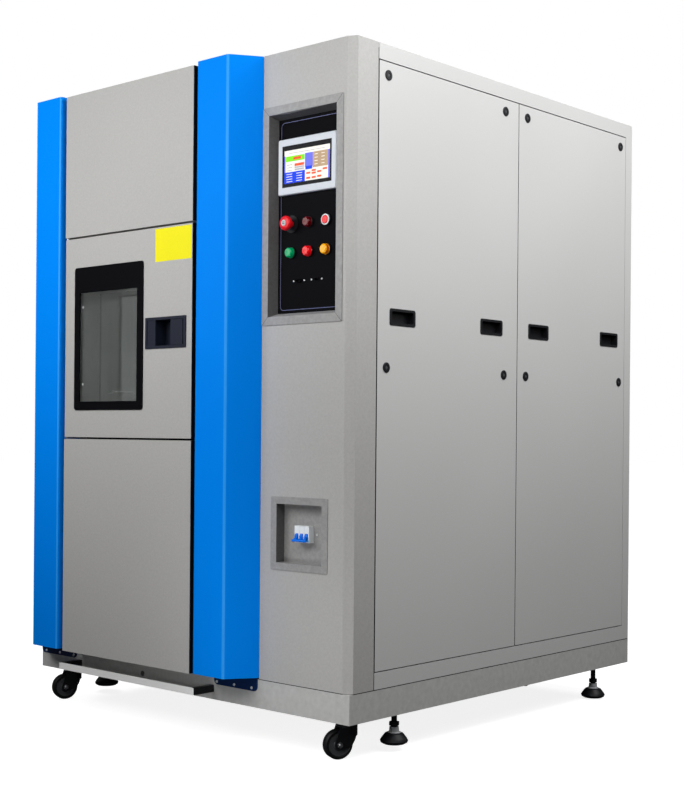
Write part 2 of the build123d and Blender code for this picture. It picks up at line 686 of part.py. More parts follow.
def toggle_axis():
    """Pivot of the breaker's toggle: its Y and Z."""
    front = FACE_Y + BREAKER_RECESS - BREAKER_PROUD
    return front + 4.0, UNDER_Z + BREAKER_Z - 6.0


def breaker_body():
    x = COLUMN_X + BREAKER_X
    z = UNDER_Z + BREAKER_Z
    w = POLE_WIDTH * POLES / 2
    front = FACE_Y + BREAKER_RECESS - BREAKER_PROUD
    back = FACE_Y + BREAKER_RECESS + SHEET + SLIP
    nose = block(x - w, x + w, front, back, z - BREAKER_FRONT_HEIGHT / 2, z + BREAKER_FRONT_HEIGHT / 2)
    base = block(x - w, x + w, back, back + 44, z - BREAKER_BODY_HEIGHT / 2, z + BREAKER_BODY_HEIGHT / 2)
    body = nose + base
    pivot_y, pivot_z = toggle_axis()
    for pole in range(POLES):
        middle = x + (pole - (POLES - 1) / 2) * POLE_WIDTH
        body -= rod_x(TOGGLE_RADIUS + SLIP, middle - 5, middle + 5, pivot_y, pivot_z)
    body -= rod_x(2 + RUN_FIT, x - w + 2, x + w - 2, pivot_y, pivot_z)
    for pole in range(1, POLES):
        groove = x - w + pole * POLE_WIDTH
        body -= block(groove - 0.4, groove + 0.4, front - 1, front + 1, z - 40, z + 40)
    return body


def breaker_toggle():
    """Three fingers on one pivot rod, tied by a round bar."""
    x = COLUMN_X + BREAKER_X
    pivot_y, pivot_z = toggle_axis()
    toggle = rod_x(2, x - POLE_WIDTH * POLES / 2 + 3, x + POLE_WIDTH * POLES / 2 - 3, pivot_y, pivot_z)
    for pole in range(POLES):
        middle = x + (pole - (POLES - 1) / 2) * POLE_WIDTH
        hub = rod_x(TOGGLE_RADIUS, middle - 4.5, middle + 4.5, pivot_y, pivot_z)
        finger = Pos(middle, pivot_y, pivot_z) * Rot(-TOGGLE_REST, 0, 0) * block(-4, 4, -19, 0, -3, 3)
        toggle += hub + finger
    reach = 18.0
    bar_y = pivot_y - reach * math.cos(math.radians(TOGGLE_REST))
    bar_z = pivot_z + reach * math.sin(math.radians(TOGGLE_REST))
    toggle += rod_x(3.4, x - 26, x + 26, bar_y, bar_z)
    return toggle


def pillar_profile(inset):
    """Plan of the right pillar: flat face, folded flank back to the body."""
    x0 = DOOR_X1 + PILLAR_GAP
    x1 = x0 + PILLAR_WIDTH
    fold_x = x0 + PILLAR_FACE
    flank = math.atan2(PILLAR_PROUD, PILLAR_WIDTH - PILLAR_FACE)
    slant = inset / math.sin(flank)
    shift = inset * math.tan(flank / 2)
    return [
        (x0 + inset, FACE_Y - (0 if inset == 0 else -1)), (x0 + inset, PILLAR_Y + inset),
        (fold_x - shift, PILLAR_Y + inset), (x1 - slant, FACE_Y - (0 if inset == 0 else -1)),
    ]


def pillar_shell():
    z0 = UNDER_Z + 84.0
    z1 = TOP_Z
    outer = upright(pillar_profile(0), z0, z1)
    x0, x1 = pillar_profile(0)[0][0], pillar_profile(0)[3][0]
    fold_x = x0 + PILLAR_FACE
    outer = fillet(vertical_edges(outer, x0, PILLAR_Y), PILLAR_CORNER)
    outer = fillet(vertical_edges(outer, fold_x, PILLAR_Y), PILLAR_CORNER + 6)
    inner = upright(pillar_profile(SHEET), z0 + SHEET, z1 - SHEET)
    inner = fillet(vertical_edges(inner, x0, PILLAR_Y), PILLAR_CORNER - SHEET)
    inner = fillet(vertical_edges(inner, fold_x, PILLAR_Y), PILLAR_CORNER + 4)
    return outer - inner


def pillar_flange(x0, x1):
    """Screw flange on the plinth's front, with round lower corners."""
    z0 = UNDER_Z + 45.0
    z1 = UNDER_Z + 84.0
    flange = block(x0, x1, FACE_Y - SHEET, FACE_Y, z0, z1)
    lower = flange.edges().filter_by(Axis.Y).sort_by(Axis.Z)[:2]
    return fillet(lower, 14)


def right_pillar():
    shell = pillar_shell()
    x1 = pillar_profile(0)[3][0]
    return shell + pillar_flange(x1 - 180, x1 - 4)


def left_pillar():
    shell = pillar_shell().mirror(Plane.YZ)
    right_edge = -pillar_profile(0)[0][0]
    shift = LEFT + PILLAR_INSET + PILLAR_WIDTH - right_edge
    return Pos(shift, 0, 0) * shell + pillar_flange(LEFT + 1, LEFT + 181)


def front_pan(z0, z1):
    """A folded front panel: face, four returns back to the front frame."""
    pan = block(DOOR_X0, DOOR_X1, DOOR_Y, FACE_Y, z0, z1)
    pan = fillet(vertical_edges(pan, DOOR_X0, DOOR_Y) + vertical_edges(pan, DOOR_X1, DOOR_Y), 4)
    hollow = block(DOOR_X0 + SHEET, DOOR_X1 - SHEET, DOOR_Y + SHEET, FACE_Y + 1, z0 + SHEET, z1 - SHEET)
    return pan - hollow


def upper_front_panel():
    return front_pan(UNDER_Z + UPPER_PANEL_BOTTOM, TOP_Z - UPPER_PANEL_DROP)


def lower_front_panel():
    return front_pan(PLINTH_Z, UNDER_Z + LOWER_PANEL_TOP)


def window_centre():
    x = DOOR_X0 + WINDOW_LEFT + WINDOW_WIDTH / 2
    z0 = UNDER_Z + WINDOW_BOTTOM
    sight_w = WINDOW_WIDTH - 2 * WINDOW_RAIL
    sight_h = WINDOW_HEIGHT - WINDOW_RAIL - WINDOW_TOP_RAIL
    return x, z0 + WINDOW_RAIL + sight_h / 2, sight_w, sight_h


def sight_block(grow, y0, y1):
    x, z, w, h = window_centre()
    return block(x - w / 2 - grow, x + w / 2 + grow, y0, y1, z - h / 2 - grow, z + h / 2 + grow)


def latch_centre():
    x = DOOR_X1 - LATCH_RIGHT_MARGIN - LATCH_WIDTH / 2
    return x, UNDER_Z + LATCH_BOTTOM + LATCH_HEIGHT / 2


def bolt_axis():
    _, z = latch_centre()
    return DOOR_Y + 34.0, z


def door_shell():
    shell = block(DOOR_X0, DOOR_X1, DOOR_Y, DOOR_BACK_Y, DOOR_Z0, DOOR_Z1)
    shell = fillet(vertical_edges(shell, DOOR_X0, DOOR_Y), DOOR_CORNER - 0.01)
    shell = fillet(vertical_edges(shell, DOOR_X1, DOOR_Y), 4)
    shell -= sight_block(WINDOW_LAP + REVEAL_WALL, DOOR_Y - 1, DOOR_BACK_Y + 1)
    x, z = latch_centre()
    w = LATCH_WIDTH / 2 - LATCH_RIM / 2
    h = LATCH_HEIGHT / 2 - LATCH_RIM / 2
    shell -= block(x - w, x + w, DOOR_Y - 1, DOOR_Y + LATCH_DEPTH, z - h, z + h)
    bolt_y, bolt_z = bolt_axis()
    shell -= rod_x(BOLT_RADIUS + RUN_FIT, x, DOOR_X1 + 1, bolt_y, bolt_z)
    for z0, z1 in ((DOOR_Z0 - 1, DOOR_Z0 + PIVOT_DEPTH), (DOOR_Z1 - PIVOT_DEPTH, DOOR_Z1 + 1)):
        shell -= rod_z(PIVOT_RADIUS + RUN_FIT, HINGE_X, HINGE_Y, z0, z1)
    return shell


def door_liner():
    """Stainless plug on the door's back, with the window's reveal tube."""
    half = CAVITY_WIDTH / 2 - PLUG_CLEARANCE
    z0 = CAVITY_Z0 + PLUG_CLEARANCE
    z1 = CAVITY_Z1 - PLUG_CLEARANCE
    plug = block(CAVITY_X - half, CAVITY_X + half, DOOR_BACK_Y, DOOR_BACK_Y + PLUG_DEPTH, z0, z1)
    plug = chamfer(plug.faces().sort_by(Axis.Y)[-1].edges(), 6)
    tube_outer = sight_block(WINDOW_LAP + REVEAL_WALL, DOOR_Y + PANE, DOOR_BACK_Y + 1)
    bore = sight_block(WINDOW_LAP, DOOR_Y, DOOR_BACK_Y + PLUG_DEPTH + 1)
    return plug + tube_outer - bore


def window_frame():
    x = DOOR_X0 + WINDOW_LEFT + WINDOW_WIDTH / 2
    z = UNDER_Z + WINDOW_BOTTOM + WINDOW_HEIGHT / 2
    frame = frontal(WINDOW_WIDTH, WINDOW_HEIGHT, WINDOW_CORNER, x, z, DOOR_Y - WINDOW_PROUD, DOOR_Y)
    frame = fillet(frame.faces().sort_by(Axis.Y)[0].edges(), 1.5)
    return frame - sight_block(0, DOOR_Y - WINDOW_PROUD - 1, DOOR_Y + 1)


def window_panes():
    outer = sight_block(WINDOW_LAP + REVEAL_WALL, DOOR_Y, DOOR_Y + PANE)
    end = DOOR_BACK_Y + PLUG_DEPTH - 4
    inner = sight_block(WINDOW_LAP, end - PANE, end)
    return [outer, inner]


def door_gasket():
    half = CAVITY_WIDTH / 2 + 6
    outer = half + GASKET_WIDTH
    y1 = FACE_Y - SLIP
    ring = block(
        CAVITY_X - outer, CAVITY_X + outer, DOOR_BACK_Y, y1,
        CAVITY_Z0 - 6 - GASKET_WIDTH, CAVITY_Z1 + 6 + GASKET_WIDTH,
    )
    hole = block(CAVITY_X - half, CAVITY_X + half, DOOR_BACK_Y - 1, y1 + 1, CAVITY_Z0 - 6, CAVITY_Z1 + 6)
    ring -= hole
    return chamfer(ring.faces().sort_by(Axis.Y)[-1].edges(), 3)


def paddle_axis():
    x, z = latch_centre()
    return x + LATCH_WIDTH / 2 - LATCH_RIM - 6.0, DOOR_Y + 5.0


def latch_housing():
    """Moulded pull housing: rim, fixed plate, finger scoop."""
    x, z = latch_centre()
    flange = frontal(LATCH_WIDTH, LATCH_HEIGHT, 2, x, z, DOOR_Y - LATCH_FLANGE, DOOR_Y)
    w = LATCH_WIDTH / 2 - LATCH_RIM / 2
    h = LATCH_HEIGHT / 2 - LATCH_RIM / 2
    body = block(x - w, x + w, DOOR_Y, DOOR_Y + LATCH_DEPTH, z - h, z + h)
    x0 = x - LATCH_WIDTH / 2 + LATCH_RIM
    x1 = x + LATCH_WIDTH / 2 - LATCH_RIM
    z0 = z - LATCH_HEIGHT / 2 + LATCH_RIM
    z1 = z + LATCH_HEIGHT / 2 - LATCH_RIM
    scoop_x = x0 + LATCH_PLATE_WIDTH - LATCH_RIM
    housing = flange + body
    housing -= block(x0, scoop_x + 1, DOOR_Y - LATCH_FLANGE - 1, DOOR_Y - 1, z0, z1)
    housing -= block(scoop_x, x1, DOOR_Y - LATCH_FLANGE - 1, DOOR_Y + LATCH_DEPTH - 3, z0, z1)
    pin_x, pin_y = paddle_axis()
    housing -= rod_z(PADDLE_PIN + RUN_FIT, pin_x, pin_y, z0 - 3, z1 + 3)
    bolt_y, bolt_z = bolt_axis()
    housing -= rod_x(BOLT_RADIUS + RUN_FIT, x1 - 1, x1 + LATCH_RIM, bolt_y, bolt_z)
    return housing


def latch_paddle():
    x, z = latch_centre()
    x1 = x + LATCH_WIDTH / 2 - LATCH_RIM
    z0 = z - LATCH_HEIGHT / 2 + LATCH_RIM + 1
    z1 = z + LATCH_HEIGHT / 2 - LATCH_RIM - 1
    pin_x, pin_y = paddle_axis()
    plan = [
        (x1 - PADDLE_WIDTH, DOOR_Y - 2), (pin_x, DOOR_Y - 2), (pin_x, DOOR_Y - 2 + PADDLE_THICKNESS),
        (x1 - PADDLE_WIDTH + 10, DOOR_Y - 2 + PADDLE_THICKNESS), (x1 - PADDLE_WIDTH, DOOR_Y + 1),
    ]
    paddle = upright(plan, z0, z1)
    paddle += rod_z(5, pin_x, pin_y, z0, z1)
    return paddle + rod_z(PADDLE_PIN, pin_x, pin_y, z0 - 3, z1 + 3)


def latch_bolt():
    x, _ = latch_centre()
    bolt_y, bolt_z = bolt_axis()
    bolt = rod_x(BOLT_RADIUS, x + LATCH_WIDTH / 2 - LATCH_RIM - 22, DOOR_X1 + BOLT_REACH, bolt_y, bolt_z)
    return chamfer(bolt.edges().sort_by(Axis.X)[-1], 2)


def door_hardware():
    """Two pivot brackets in the seams, and the keeper beside the latch."""
    pieces = []
    arm = 3.0
    for seam, pin_sign in ((DOOR_Z0 - SEAM / 2, 1), (DOOR_Z1 + SEAM / 2, -1)):
        z0 = seam - arm / 2
        bracket = block(HINGE_X - 7, HINGE_X + 9, HINGE_Y, FACE_Y, z0, z0 + arm)
        bracket += rod_z(7, HINGE_X, HINGE_Y, z0, z0 + arm)
        tip = seam + pin_sign * (SEAM / 2 + PIVOT_DEPTH - 2)
        bracket += rod_z(PIVOT_RADIUS, HINGE_X, HINGE_Y, min(seam, tip), max(seam, tip))
        pieces.append(bracket)
    bolt_y, bolt_z = bolt_axis()
    x0 = DOOR_X1 + 4
    keeper = block(
        x0, x0 + KEEPER_WIDTH, bolt_y + BOLT_RADIUS + SLIP, FACE_Y,
        bolt_z - KEEPER_HEIGHT / 2, bolt_z + KEEPER_HEIGHT / 2,
    )
    pieces.append(keeper)
    return pieces


def step_bar():
    """White flat bar across the front, on two arms that stand off the plinth."""
    x0 = LEFT + STEP_LEFT
    x1 = LEFT + STEP_RIGHT
    z0 = UNDER_Z + STEP_BOTTOM
    z1 = z0 + STEP_HEIGHT
    y0 = FACE_Y - STEP_PROUD
    bar = block(x0, x1, y0, y0 + 4, z0, z1)
    for a0, a1 in ((x0, x0 + STEP_ARM), (x1 - STEP_ARM, x1)):
        bar += block(a0, a1, y0 + 4, FACE_Y, z0, z1)
    return bar


def insulated_body():
    """Foam-filled panels round the three zones, open only at the test zone's front."""
    x0 = CAVITY_X - CAVITY_WIDTH / 2
    x1 = CAVITY_X + CAVITY_WIDTH / 2
    y0 = INSULATION_Y0
    y1 = INSULATION_BACK_Y
    z0 = UNDER_Z + INSULATION_BOTTOM
    z1 = UNDER_Z + INSULATION_TOP
    panels = [
        block(INSULATION_X0, x0, y0, y1, z0, z1),
        block(x1, INSULATION_X1, y0, y1, z0, z1),
        block(x0, x1, y0, y1, z0, COLD_Z0),
        block(x0, x1, y0, y1, HOT_Z1, z1),
        block(x0, x1, FACE_Y + CAVITY_DEPTH, y1, CAVITY_Z0, CAVITY_Z1),
    ]
    for low, high in ((COLD_Z0, COLD_Z1), (HOT_Z0, HOT_Z1)):
        panels.append(block(x0, x1, y0, ZONE_Y0, low, high))
        rear = block(x0, x1, ZONE_Y1, y1, low, high)
        panels.append(rear - rod_y(FAN_SHAFT + 3, CAVITY_X, ZONE_Y1 - 1, y1 + 1, (low + high) / 2))
    for low, high in ((COLD_Z1, CAVITY_Z0), (CAVITY_Z1, HOT_Z0)):
        panels += deck_panels(x0, x1, y0, y1, low, high)
    for side in (-1, 1):
        for z, reach in ((HOT_Z0 + DAMPER_PIN, 1), (COLD_Z1 - DAMPER_PIN, -1)):
            panels.append(damper_ear(side, z, reach))
    return panels


def deck_panels(x0, x1, y0, y1, z0, z1):
    """The four panels between two zones that leave the air port free."""
    px0 = CAVITY_X - PORT_WIDTH / 2
    px1 = CAVITY_X + PORT_WIDTH / 2
    return [
        block(x0, x1, y0, PORT_Y0, z0, z1),
        block(x0, x1, PORT_Y1, y1, z0, z1),
        block(x0, px0, PORT_Y0, PORT_Y1, z0, z1),
        block(px1, x1, PORT_Y0, PORT_Y1, z0, z1),
    ]


def damper_ear(side, z, reach):
    """Bearing block beside a damper's hinge pin."""
    x_in = CAVITY_X + side * (PORT_WIDTH / 2 + DAMPER_LAP + 2)
    x_out = x_in + side * 14
    y = damper_hinge_y()
    x0, x1 = sorted((x_in, x_out))
    wall_z = z - reach * DAMPER_PIN
    z0, z1 = sorted((wall_z, z + reach * (DAMPER_PIN + 5)))
    ear = block(x0, x1, y - 9, y + 9, z0, z1)
    return ear - rod_x(DAMPER_PIN + RUN_FIT, x0 - 1, x1 + 1, y, z)


def damper_hinge_y():
    return PORT_Y0 - DAMPER_LAP - DAMPER_PIN


def chamber_liner():
    """Stainless tank of the test zone, ribbed on its back wall."""
    y1 = FACE_Y + CAVITY_DEPTH
    shell = cavity_block(FACE_Y + SHEET + SLIP, y1, 0) - cavity_block(FACE_Y, y1 - LINER, LINER)
    port = block(
        CAVITY_X - PORT_WIDTH / 2, CAVITY_X + PORT_WIDTH / 2, PORT_Y0, PORT_Y1,
        CAVITY_Z0 - 1, CAVITY_Z1 + 1,
    )
    shell -= port
    ribs = 7
    for rib in range(ribs):
        x = CAVITY_X + (rib - (ribs - 1) / 2) * 62
        shell += block(x - 7, x + 7, y1 - LINER - 5, y1 - LINER, CAVITY_Z0 + 30, CAVITY_Z1 - 30)
    for side in (-1, 1):
        x0, x1 = sorted((CAVITY_X + side * (CAVITY_WIDTH / 2 - LINER), CAVITY_X + side * (CAVITY_WIDTH / 2 - 14)))
        z = shelf_height()
        shell += block(x0, x1, FACE_Y + 60, y1 - 20, z - 2 - 4, z - 4)
    return shell


def shelf_height():
    return CAVITY_Z0 + 90.0


def specimen_shelf():
    """Welded wire shelf that rests on the liner's two runners."""
    z = shelf_height()
    wire = 4.0
    half = CAVITY_WIDTH / 2 - LINER - 4
    y0 = FACE_Y + 70
    y1 = FACE_Y + CAVITY_DEPTH - 30
    shelf = None
    for side in (-1, 1):
        rail = block(CAVITY_X + side * half - (0 if side < 0 else 8), CAVITY_X + side * half + (8 if side < 0 else 0),
                     y0, y1, z - wire, z + wire)
        shelf = rail if shelf is None else shelf + rail
    bars = 15
    for bar in range(bars):
        y = y0 + 6 + bar * (y1 - y0 - 12) / (bars - 1)
        shelf += block(CAVITY_X - half + 1, CAVITY_X + half - 1, y - 2, y + 2, z - 2, z + 2)
    return shelf


def fan_impeller(z):
    """Backward-curved radial impeller on its shaft, along Y."""
    y1 = ZONE_Y1 - FAN_SETBACK
    y0 = y1 - FAN_DEPTH
    fan = rod_y(FAN_RADIUS, CAVITY_X, y1 - 3, y1, z)
    fan += rod_y(26, CAVITY_X, y0, y1, z)
    blades = 8
    mid = (26 + FAN_RADIUS) / 2
    for blade in range(blades):
        fin = block(24, FAN_RADIUS - 4, -1.5, 1.5, 0, FAN_DEPTH - 2)
        lean = Pos(mid, 0, 0) * Rot(0, 0, 24) * Pos(-mid, 0, 0)
        fan += facing_front(CAVITY_X, y1 - 2, z) * Rot(0, 0, blade * 360 / blades) * lean * fin
    fan += rod_y(FAN_SHAFT, CAVITY_X, y0 - 6, INSULATION_BACK_Y + 30, z)
    return fan


def hot_fan():
    return fan_impeller((HOT_Z0 + HOT_Z1) / 2)


def cold_fan():
    return fan_impeller((COLD_Z0 + COLD_Z1) / 2)


def fan_motors():
    motors = []
    for z in ((HOT_Z0 + HOT_Z1) / 2, (COLD_Z0 + COLD_Z1) / 2):
        y0 = INSULATION_BACK_Y
        motor = frontal(130, 130, 10, CAVITY_X, z, y0, y0 + 10)
        motor += rod_y(52, CAVITY_X, y0 + 10, y0 + 120, z)
        motor -= rod_y(FAN_SHAFT + RUN_FIT, CAVITY_X, y0 - 1, y0 + 32, z)
        motors.append(motor)
    return motors


def damper(z_pin, reach):
    """A flap that lies over its port, on a hinge pin at its front edge."""
    half = PORT_WIDTH / 2 + DAMPER_LAP
    y = damper_hinge_y()
    wall = z_pin - reach * DAMPER_PIN
    z0, z1 = sorted((wall + reach * SLIP, wall + reach * (SLIP + DAMPER_THICKNESS)))
    flap = block(CAVITY_X - half, CAVITY_X + half, y, PORT_Y1 + DAMPER_LAP, z0, z1)
    knuckle = rod_x(DAMPER_PIN - SLIP, CAVITY_X - half, CAVITY_X + half, y, z_pin)
    stubs = rod_x(DAMPER_PIN, CAVITY_X - half - 14, CAVITY_X - half, y, z_pin)
    stubs += rod_x(DAMPER_PIN, CAVITY_X + half, CAVITY_X + half + 14, y, z_pin)
    return flap + knuckle + stubs


def hot_damper():
    return damper(HOT_Z0 + DAMPER_PIN, 1)


def cold_damper():
    return damper(COLD_Z1 - DAMPER_PIN, -1)


def heater_bank():
    """Hairpin heating elements hung from a flange under the hot zone's ceiling."""
    y = ZONE_Y1 - FAN_SETBACK - FAN_DEPTH - 50
    z1 = HOT_Z1
    bank = block(CAVITY_X - 190, CAVITY_X + 190, y - 14, y + 14, z1 - 8, z1)
    for hairpin in range(3):
        x = CAVITY_X + (hairpin - 1) * 120
        ring = Pos(x, y, z1 - 190) * Rot(90, 0, 0) * Torus(20, 5)
        bank += ring - block(x - 30, x + 30, y - 8, y + 8, z1 - 190, z1 - 150)
        bank += rod_z(5, x - 20, y, z1 - 190, z1 - 4)
        bank += rod_z(5, x + 20, y, z1 - 190, z1 - 4)
    return bank


def evaporator():
    """Finned coil in the cold zone, on two feet."""
    y0 = ZONE_Y1 - FAN_SETBACK - FAN_DEPTH - 90
    z0 = COLD_Z0
    coil = None
    fins = 13
    for fin in range(fins):
        x = CAVITY_X - 180 + fin * 30
        plate = block(x - 1, x + 1, y0, y0 + 60, z0 + 20, z0 + 280)
        coil = plate if coil is None else coil + plate
    for row in range(3):
        coil += rod_x(8, CAVITY_X - 190, CAVITY_X + 190, y0 + 30, z0 + 70 + row * 80)
    for x in (CAVITY_X - 180, CAVITY_X + 180):
        coil += block(x - 3, x + 3, y0, y0 + 60, z0, z0 + 40)
    return coil


def refrigeration_plant():
    """Two hermetic compressors, a plate condenser and a receiver, behind the zones."""
    floor = PLINTH_Z
    y = INSULATION_BACK_Y + 330
    pieces = []
    for x in (-340.0, 20.0):
        outline = [(0, 0), (110, 0), (110, 8), (92, 12), (92, 230), (80, 262), (50, 280), (0, 284)]
        pieces.append(spun(outline, Plane(origin=(x, y, floor))))
    pieces.append(block(250, 360, y - 60, y + 60, floor, floor + 420))
    outline = [(0, 0), (70, 0), (70, 6), (62, 10), (62, 360), (50, 384), (0, 392)]
    pieces.append(spun(outline, Plane(origin=(480, y, floor))))
    return pieces


def electrical_plate():
    """Mounting plate in the control column, with its rails of contactors."""
    y = FACE_Y + 320
    x0 = COLUMN_X + 14
    x1 = RIGHT - POST - 10
    plate = block(x0, x1, y, y + 3, PLINTH_Z, PLINTH_Z + 1500)
    pieces = [plate]
    for row in range(4):
        z = PLINTH_Z + 300 + row * 260
        rail = block(x0 + 20, x1 - 20, y - 8, y, z - 17, z + 17)
        for step in range(4):
            x = x0 + 50 + step * 58
            rail += block(x - 22, x + 22, y - 80, y - 8, z - 40, z + 40)
        pieces.append(rail)
    return pieces


def service_places():
    """Where each rear fitting goes through its panel: X, Z, stem radius, kind."""
    gland = (GLAND_X, UNDER_Z + GLAND_Z, 16.0, "gland")
    return [gland] + [(x, UNDER_Z + WATER_Z, WATER_RADIUS, "water") for x in WATER_X]


def rear_fittings():
    """Supply gland and two cooling-water stubs, all within the rear recess."""
    y = BACK_Y - REAR_SET
    bore = WATER_RADIUS - 2.6
    outlines = {
        "gland": [
            (GLAND_BORE, -14), (16, -14), (16, 0), (24, 0), (24, 8), (19, 10), (19, 24), (15, 30),
            (GLAND_BORE, 30),
        ],
        "water": [
            (bore, -30), (WATER_RADIUS, -30), (WATER_RADIUS, 0), (22, 0), (22, 6), (WATER_RADIUS, 6),
            (WATER_RADIUS, 6 + WATER_LENGTH), (bore, 6 + WATER_LENGTH),
        ],
    }
    pieces = []
    for x, z, _, kind in service_places():
        place = Plane(origin=(x, y, z), x_dir=(-1, 0, 0), z_dir=(0, 1, 0))
        pieces.append(spun(outlines[kind], place))
    return pieces


def caster_places():
    return {
        "front_left": (LEFT + CASTER_X, FACE_Y + CASTER_Y),
        "front_right": (RIGHT - CASTER_X, FACE_Y + CASTER_Y),
        "rear_left": (LEFT + CASTER_REAR_X, FACE_Y + CASTER_REAR_Y),
        "rear_right": (RIGHT - CASTER_REAR_X, FACE_Y + CASTER_REAR_Y),
    }


def caster_plate(x, y):
    z1 = UNDER_Z
    plate = Pos(x, y, z1 - 4) * extrude(RectangleRounded(CASTER_PLATE, CASTER_PLATE, 6), 4)
    race = CASTER_CROWN - 4
    outline = [
        (0, -22), (KINGPIN_RADIUS, -22), (KINGPIN_RADIUS, -12), (race - 3, -12), (race, -8), (race, -3), (0, -3),
    ]
    return plate + spun(outline, Plane(origin=(x, y, z1)))


def caster_plates():
    return [caster_plate(x, y) for x, y in caster_places().values()]


def fork_cheek(x0, x1, top):
    """One teardrop cheek, from the crown down to a round end at the axle."""
    axle_z = WHEEL_DIAMETER / 2
    trail = CASTER_TRAIL
    back = 7 - CASTER_CROWN
    outline = Polyline(
        (back, top), (back, top - 24), (back + 5, axle_z + 12), (trail - 34, axle_z - 4),
        (trail - 5.5, axle_z - 12.9), (trail + 13.8, axle_z + 2), (trail + 2, axle_z + 40), (trail - 2, top),
        close=True,
    )
    side = make_face(outline)
    bends = [corner for corner in side.vertices() if corner.X < 0 and corner.Y < top - 1]
    side = fillet(bends, 6)
    side += Pos(trail, axle_z) * Circle(14)
    return Plane(origin=(x0, 0, 0), x_dir=(0, -1, 0), z_dir=(-1, 0, 0)) * extrude(side, x0 - x1)


def caster_fork(name):
    """Swivel fork: crown with a skirt at its back, two cheeks and the axle."""
    x, y = caster_places()[name]
    crown_z1 = UNDER_Z - 12 - SLIP
    crown_z0 = crown_z1 - 6
    axle_z = WHEEL_DIAMETER / 2
    half = WHEEL_WIDTH / 2 + 2
    crown = rod_z(CASTER_CROWN, 0, 0, crown_z0, crown_z1)
    skirt = rod_z(CASTER_CROWN, 0, 0, crown_z1 - 30, crown_z1)
    skirt -= rod_z(CASTER_CROWN - CASTER_WALL, 0, 0, crown_z1 - 31, crown_z0)
    skirt -= block(-40, 40, -40, 6, crown_z1 - 31, crown_z0)
    fork = crown + skirt
    fork = chamfer(fork.faces().sort_by(Axis.Z)[-1].edges(), 2)
    for side in (-1, 1):
        x0, x1 = sorted((side * half, side * (half + CASTER_WALL)))
        cheek = fork_cheek(x0, x1, crown_z1 - 2)
        fork += cheek
    fork -= rod_z(KINGPIN_RADIUS + RUN_FIT, 0, 0, crown_z0 - 1, crown_z1 + 1)
    fork += rod_x(AXLE_RADIUS, -half - CASTER_WALL - 4, half + CASTER_WALL + 4, -CASTER_TRAIL, axle_z)
    return Pos(x, y, 0) * Rot(0, 0, CASTER_ANGLES[name]) * fork


def caster_wheel(name):
    x, y = caster_places()[name]
    r = WHEEL_DIAMETER / 2
    w = WHEEL_WIDTH / 2
    bore = AXLE_RADIUS + RUN_FIT
    outline = [
        (bore, -w), (14, -w), (16, -w + 2), (r - 10, -w + 2), (r - 8, -w), (r - 3, -w), (r, -w + 5),
        (r, w - 5), (r - 3, w), (r - 8, w), (r - 10, w - 2), (16, w - 2), (14, w), (bore, w),
    ]
    axle = Plane(origin=(0, -CASTER_TRAIL, r), x_dir=(0, 1, 0), z_dir=(1, 0, 0))
    return Pos(x, y, 0) * Rot(0, 0, CASTER_ANGLES[name]) * spun(outline, axle)


def level_foot(x, y, lift):
    """Dome pad, collar, lock nut and stud of one levelling foot."""
    top = UNDER_Z + 46
    outline = [
        (0, 0), (30, 0), (FOOT_RADIUS - 2, 4), (FOOT_RADIUS, 9), (FOOT_RADIUS - 3, 15), (26, 28), (14, 34),
        (13, 46), (STUD_RADIUS, 46), (STUD_RADIUS, top - lift - 6), (STUD_RADIUS - 2, top - lift - 3), (0, top - lift - 3),
    ]
    foot = spun(outline, Plane(origin=(x, y, lift)))
    nut = Pos(x, y, lift + 50) * extrude(RegularPolygon(15, 6), 10)
    return foot + nut


CHAMBER = {
    "base_frame": base_frame,
    "cabinet_frame": cabinet_frame,
    "front_frame": front_frame,
    "top_cover": top_cover,
    "side_panels": side_panels,
    "panel_pulls": panel_pulls,
    "panel_locks": panel_locks,
    "rear_panels": rear_panels,
    "rear_fittings": rear_fittings,
    "left_pillar": left_pillar,
    "right_pillar": right_pillar,
    "upper_front_panel": upper_front_panel,
    "lower_front_panel": lower_front_panel,
    "step_bar": step_bar,
    "control_fascia": control_fascia,
    "control_bezel": control_bezel,
    "control_plate": control_plate,
    "screen_housing": screen_housing,
    "screen_glass": screen_glass,
    "signal_lamps": signal_lamps,
    "data_ports": data_ports,
    "estop_button": estop_button,
    "power_button": power_button,
    "breaker_recess": breaker_recess,
    "breaker_body": breaker_body,
    "breaker_toggle": breaker_toggle,
    "door_shell": door_shell,
    "door_liner": door_liner,
    "window_frame": window_frame,
    "window_panes": window_panes,
    "door_gasket": door_gasket,
    "latch_housing": latch_housing,
    "latch_paddle": latch_paddle,
    "latch_bolt": latch_bolt,
    "door_hardware": door_hardware,
    "insulated_body": insulated_body,
    "chamber_liner": chamber_liner,
    "specimen_shelf": specimen_shelf,
    "hot_fan": hot_fan,
    "cold_fan": cold_fan,
    "fan_motors": fan_motors,
    "hot_damper": hot_damper,
    "cold_damper": cold_damper,
    "heater_bank": heater_bank,
    "evaporator": evaporator,
    "refrigeration_plant": refrigeration_plant,
    "electrical_plate": electrical_plate,
    "caster_plates": caster_plates,
}


def build_all():
    parts = {name: make() for name, make in CHAMBER.items()}
    for name in caster_places():
        parts["caster_fork_" + name] = caster_fork(name)
        parts["caster_wheel_" + name] = caster_wheel(name)
    lifts = (FOOT_FRONT_LIFT, FOOT_FRONT_LIFT, FOOT_REAR_LIFT, FOOT_REAR_LIFT)
    for name, (x, y), lift in zip(caster_places(), foot_places(), lifts):
        parts["level_foot_" + name] = level_foot(x, y, lift)
    return parts


os.makedirs("parts", exist_ok=True)
for node, shape in build_all().items():
    if isinstance(shape, list):
        shape = Compound(children=[piece for item in shape for piece in item.solids()])
    export_step(shape, f"parts/{node}.step")
    print(node)
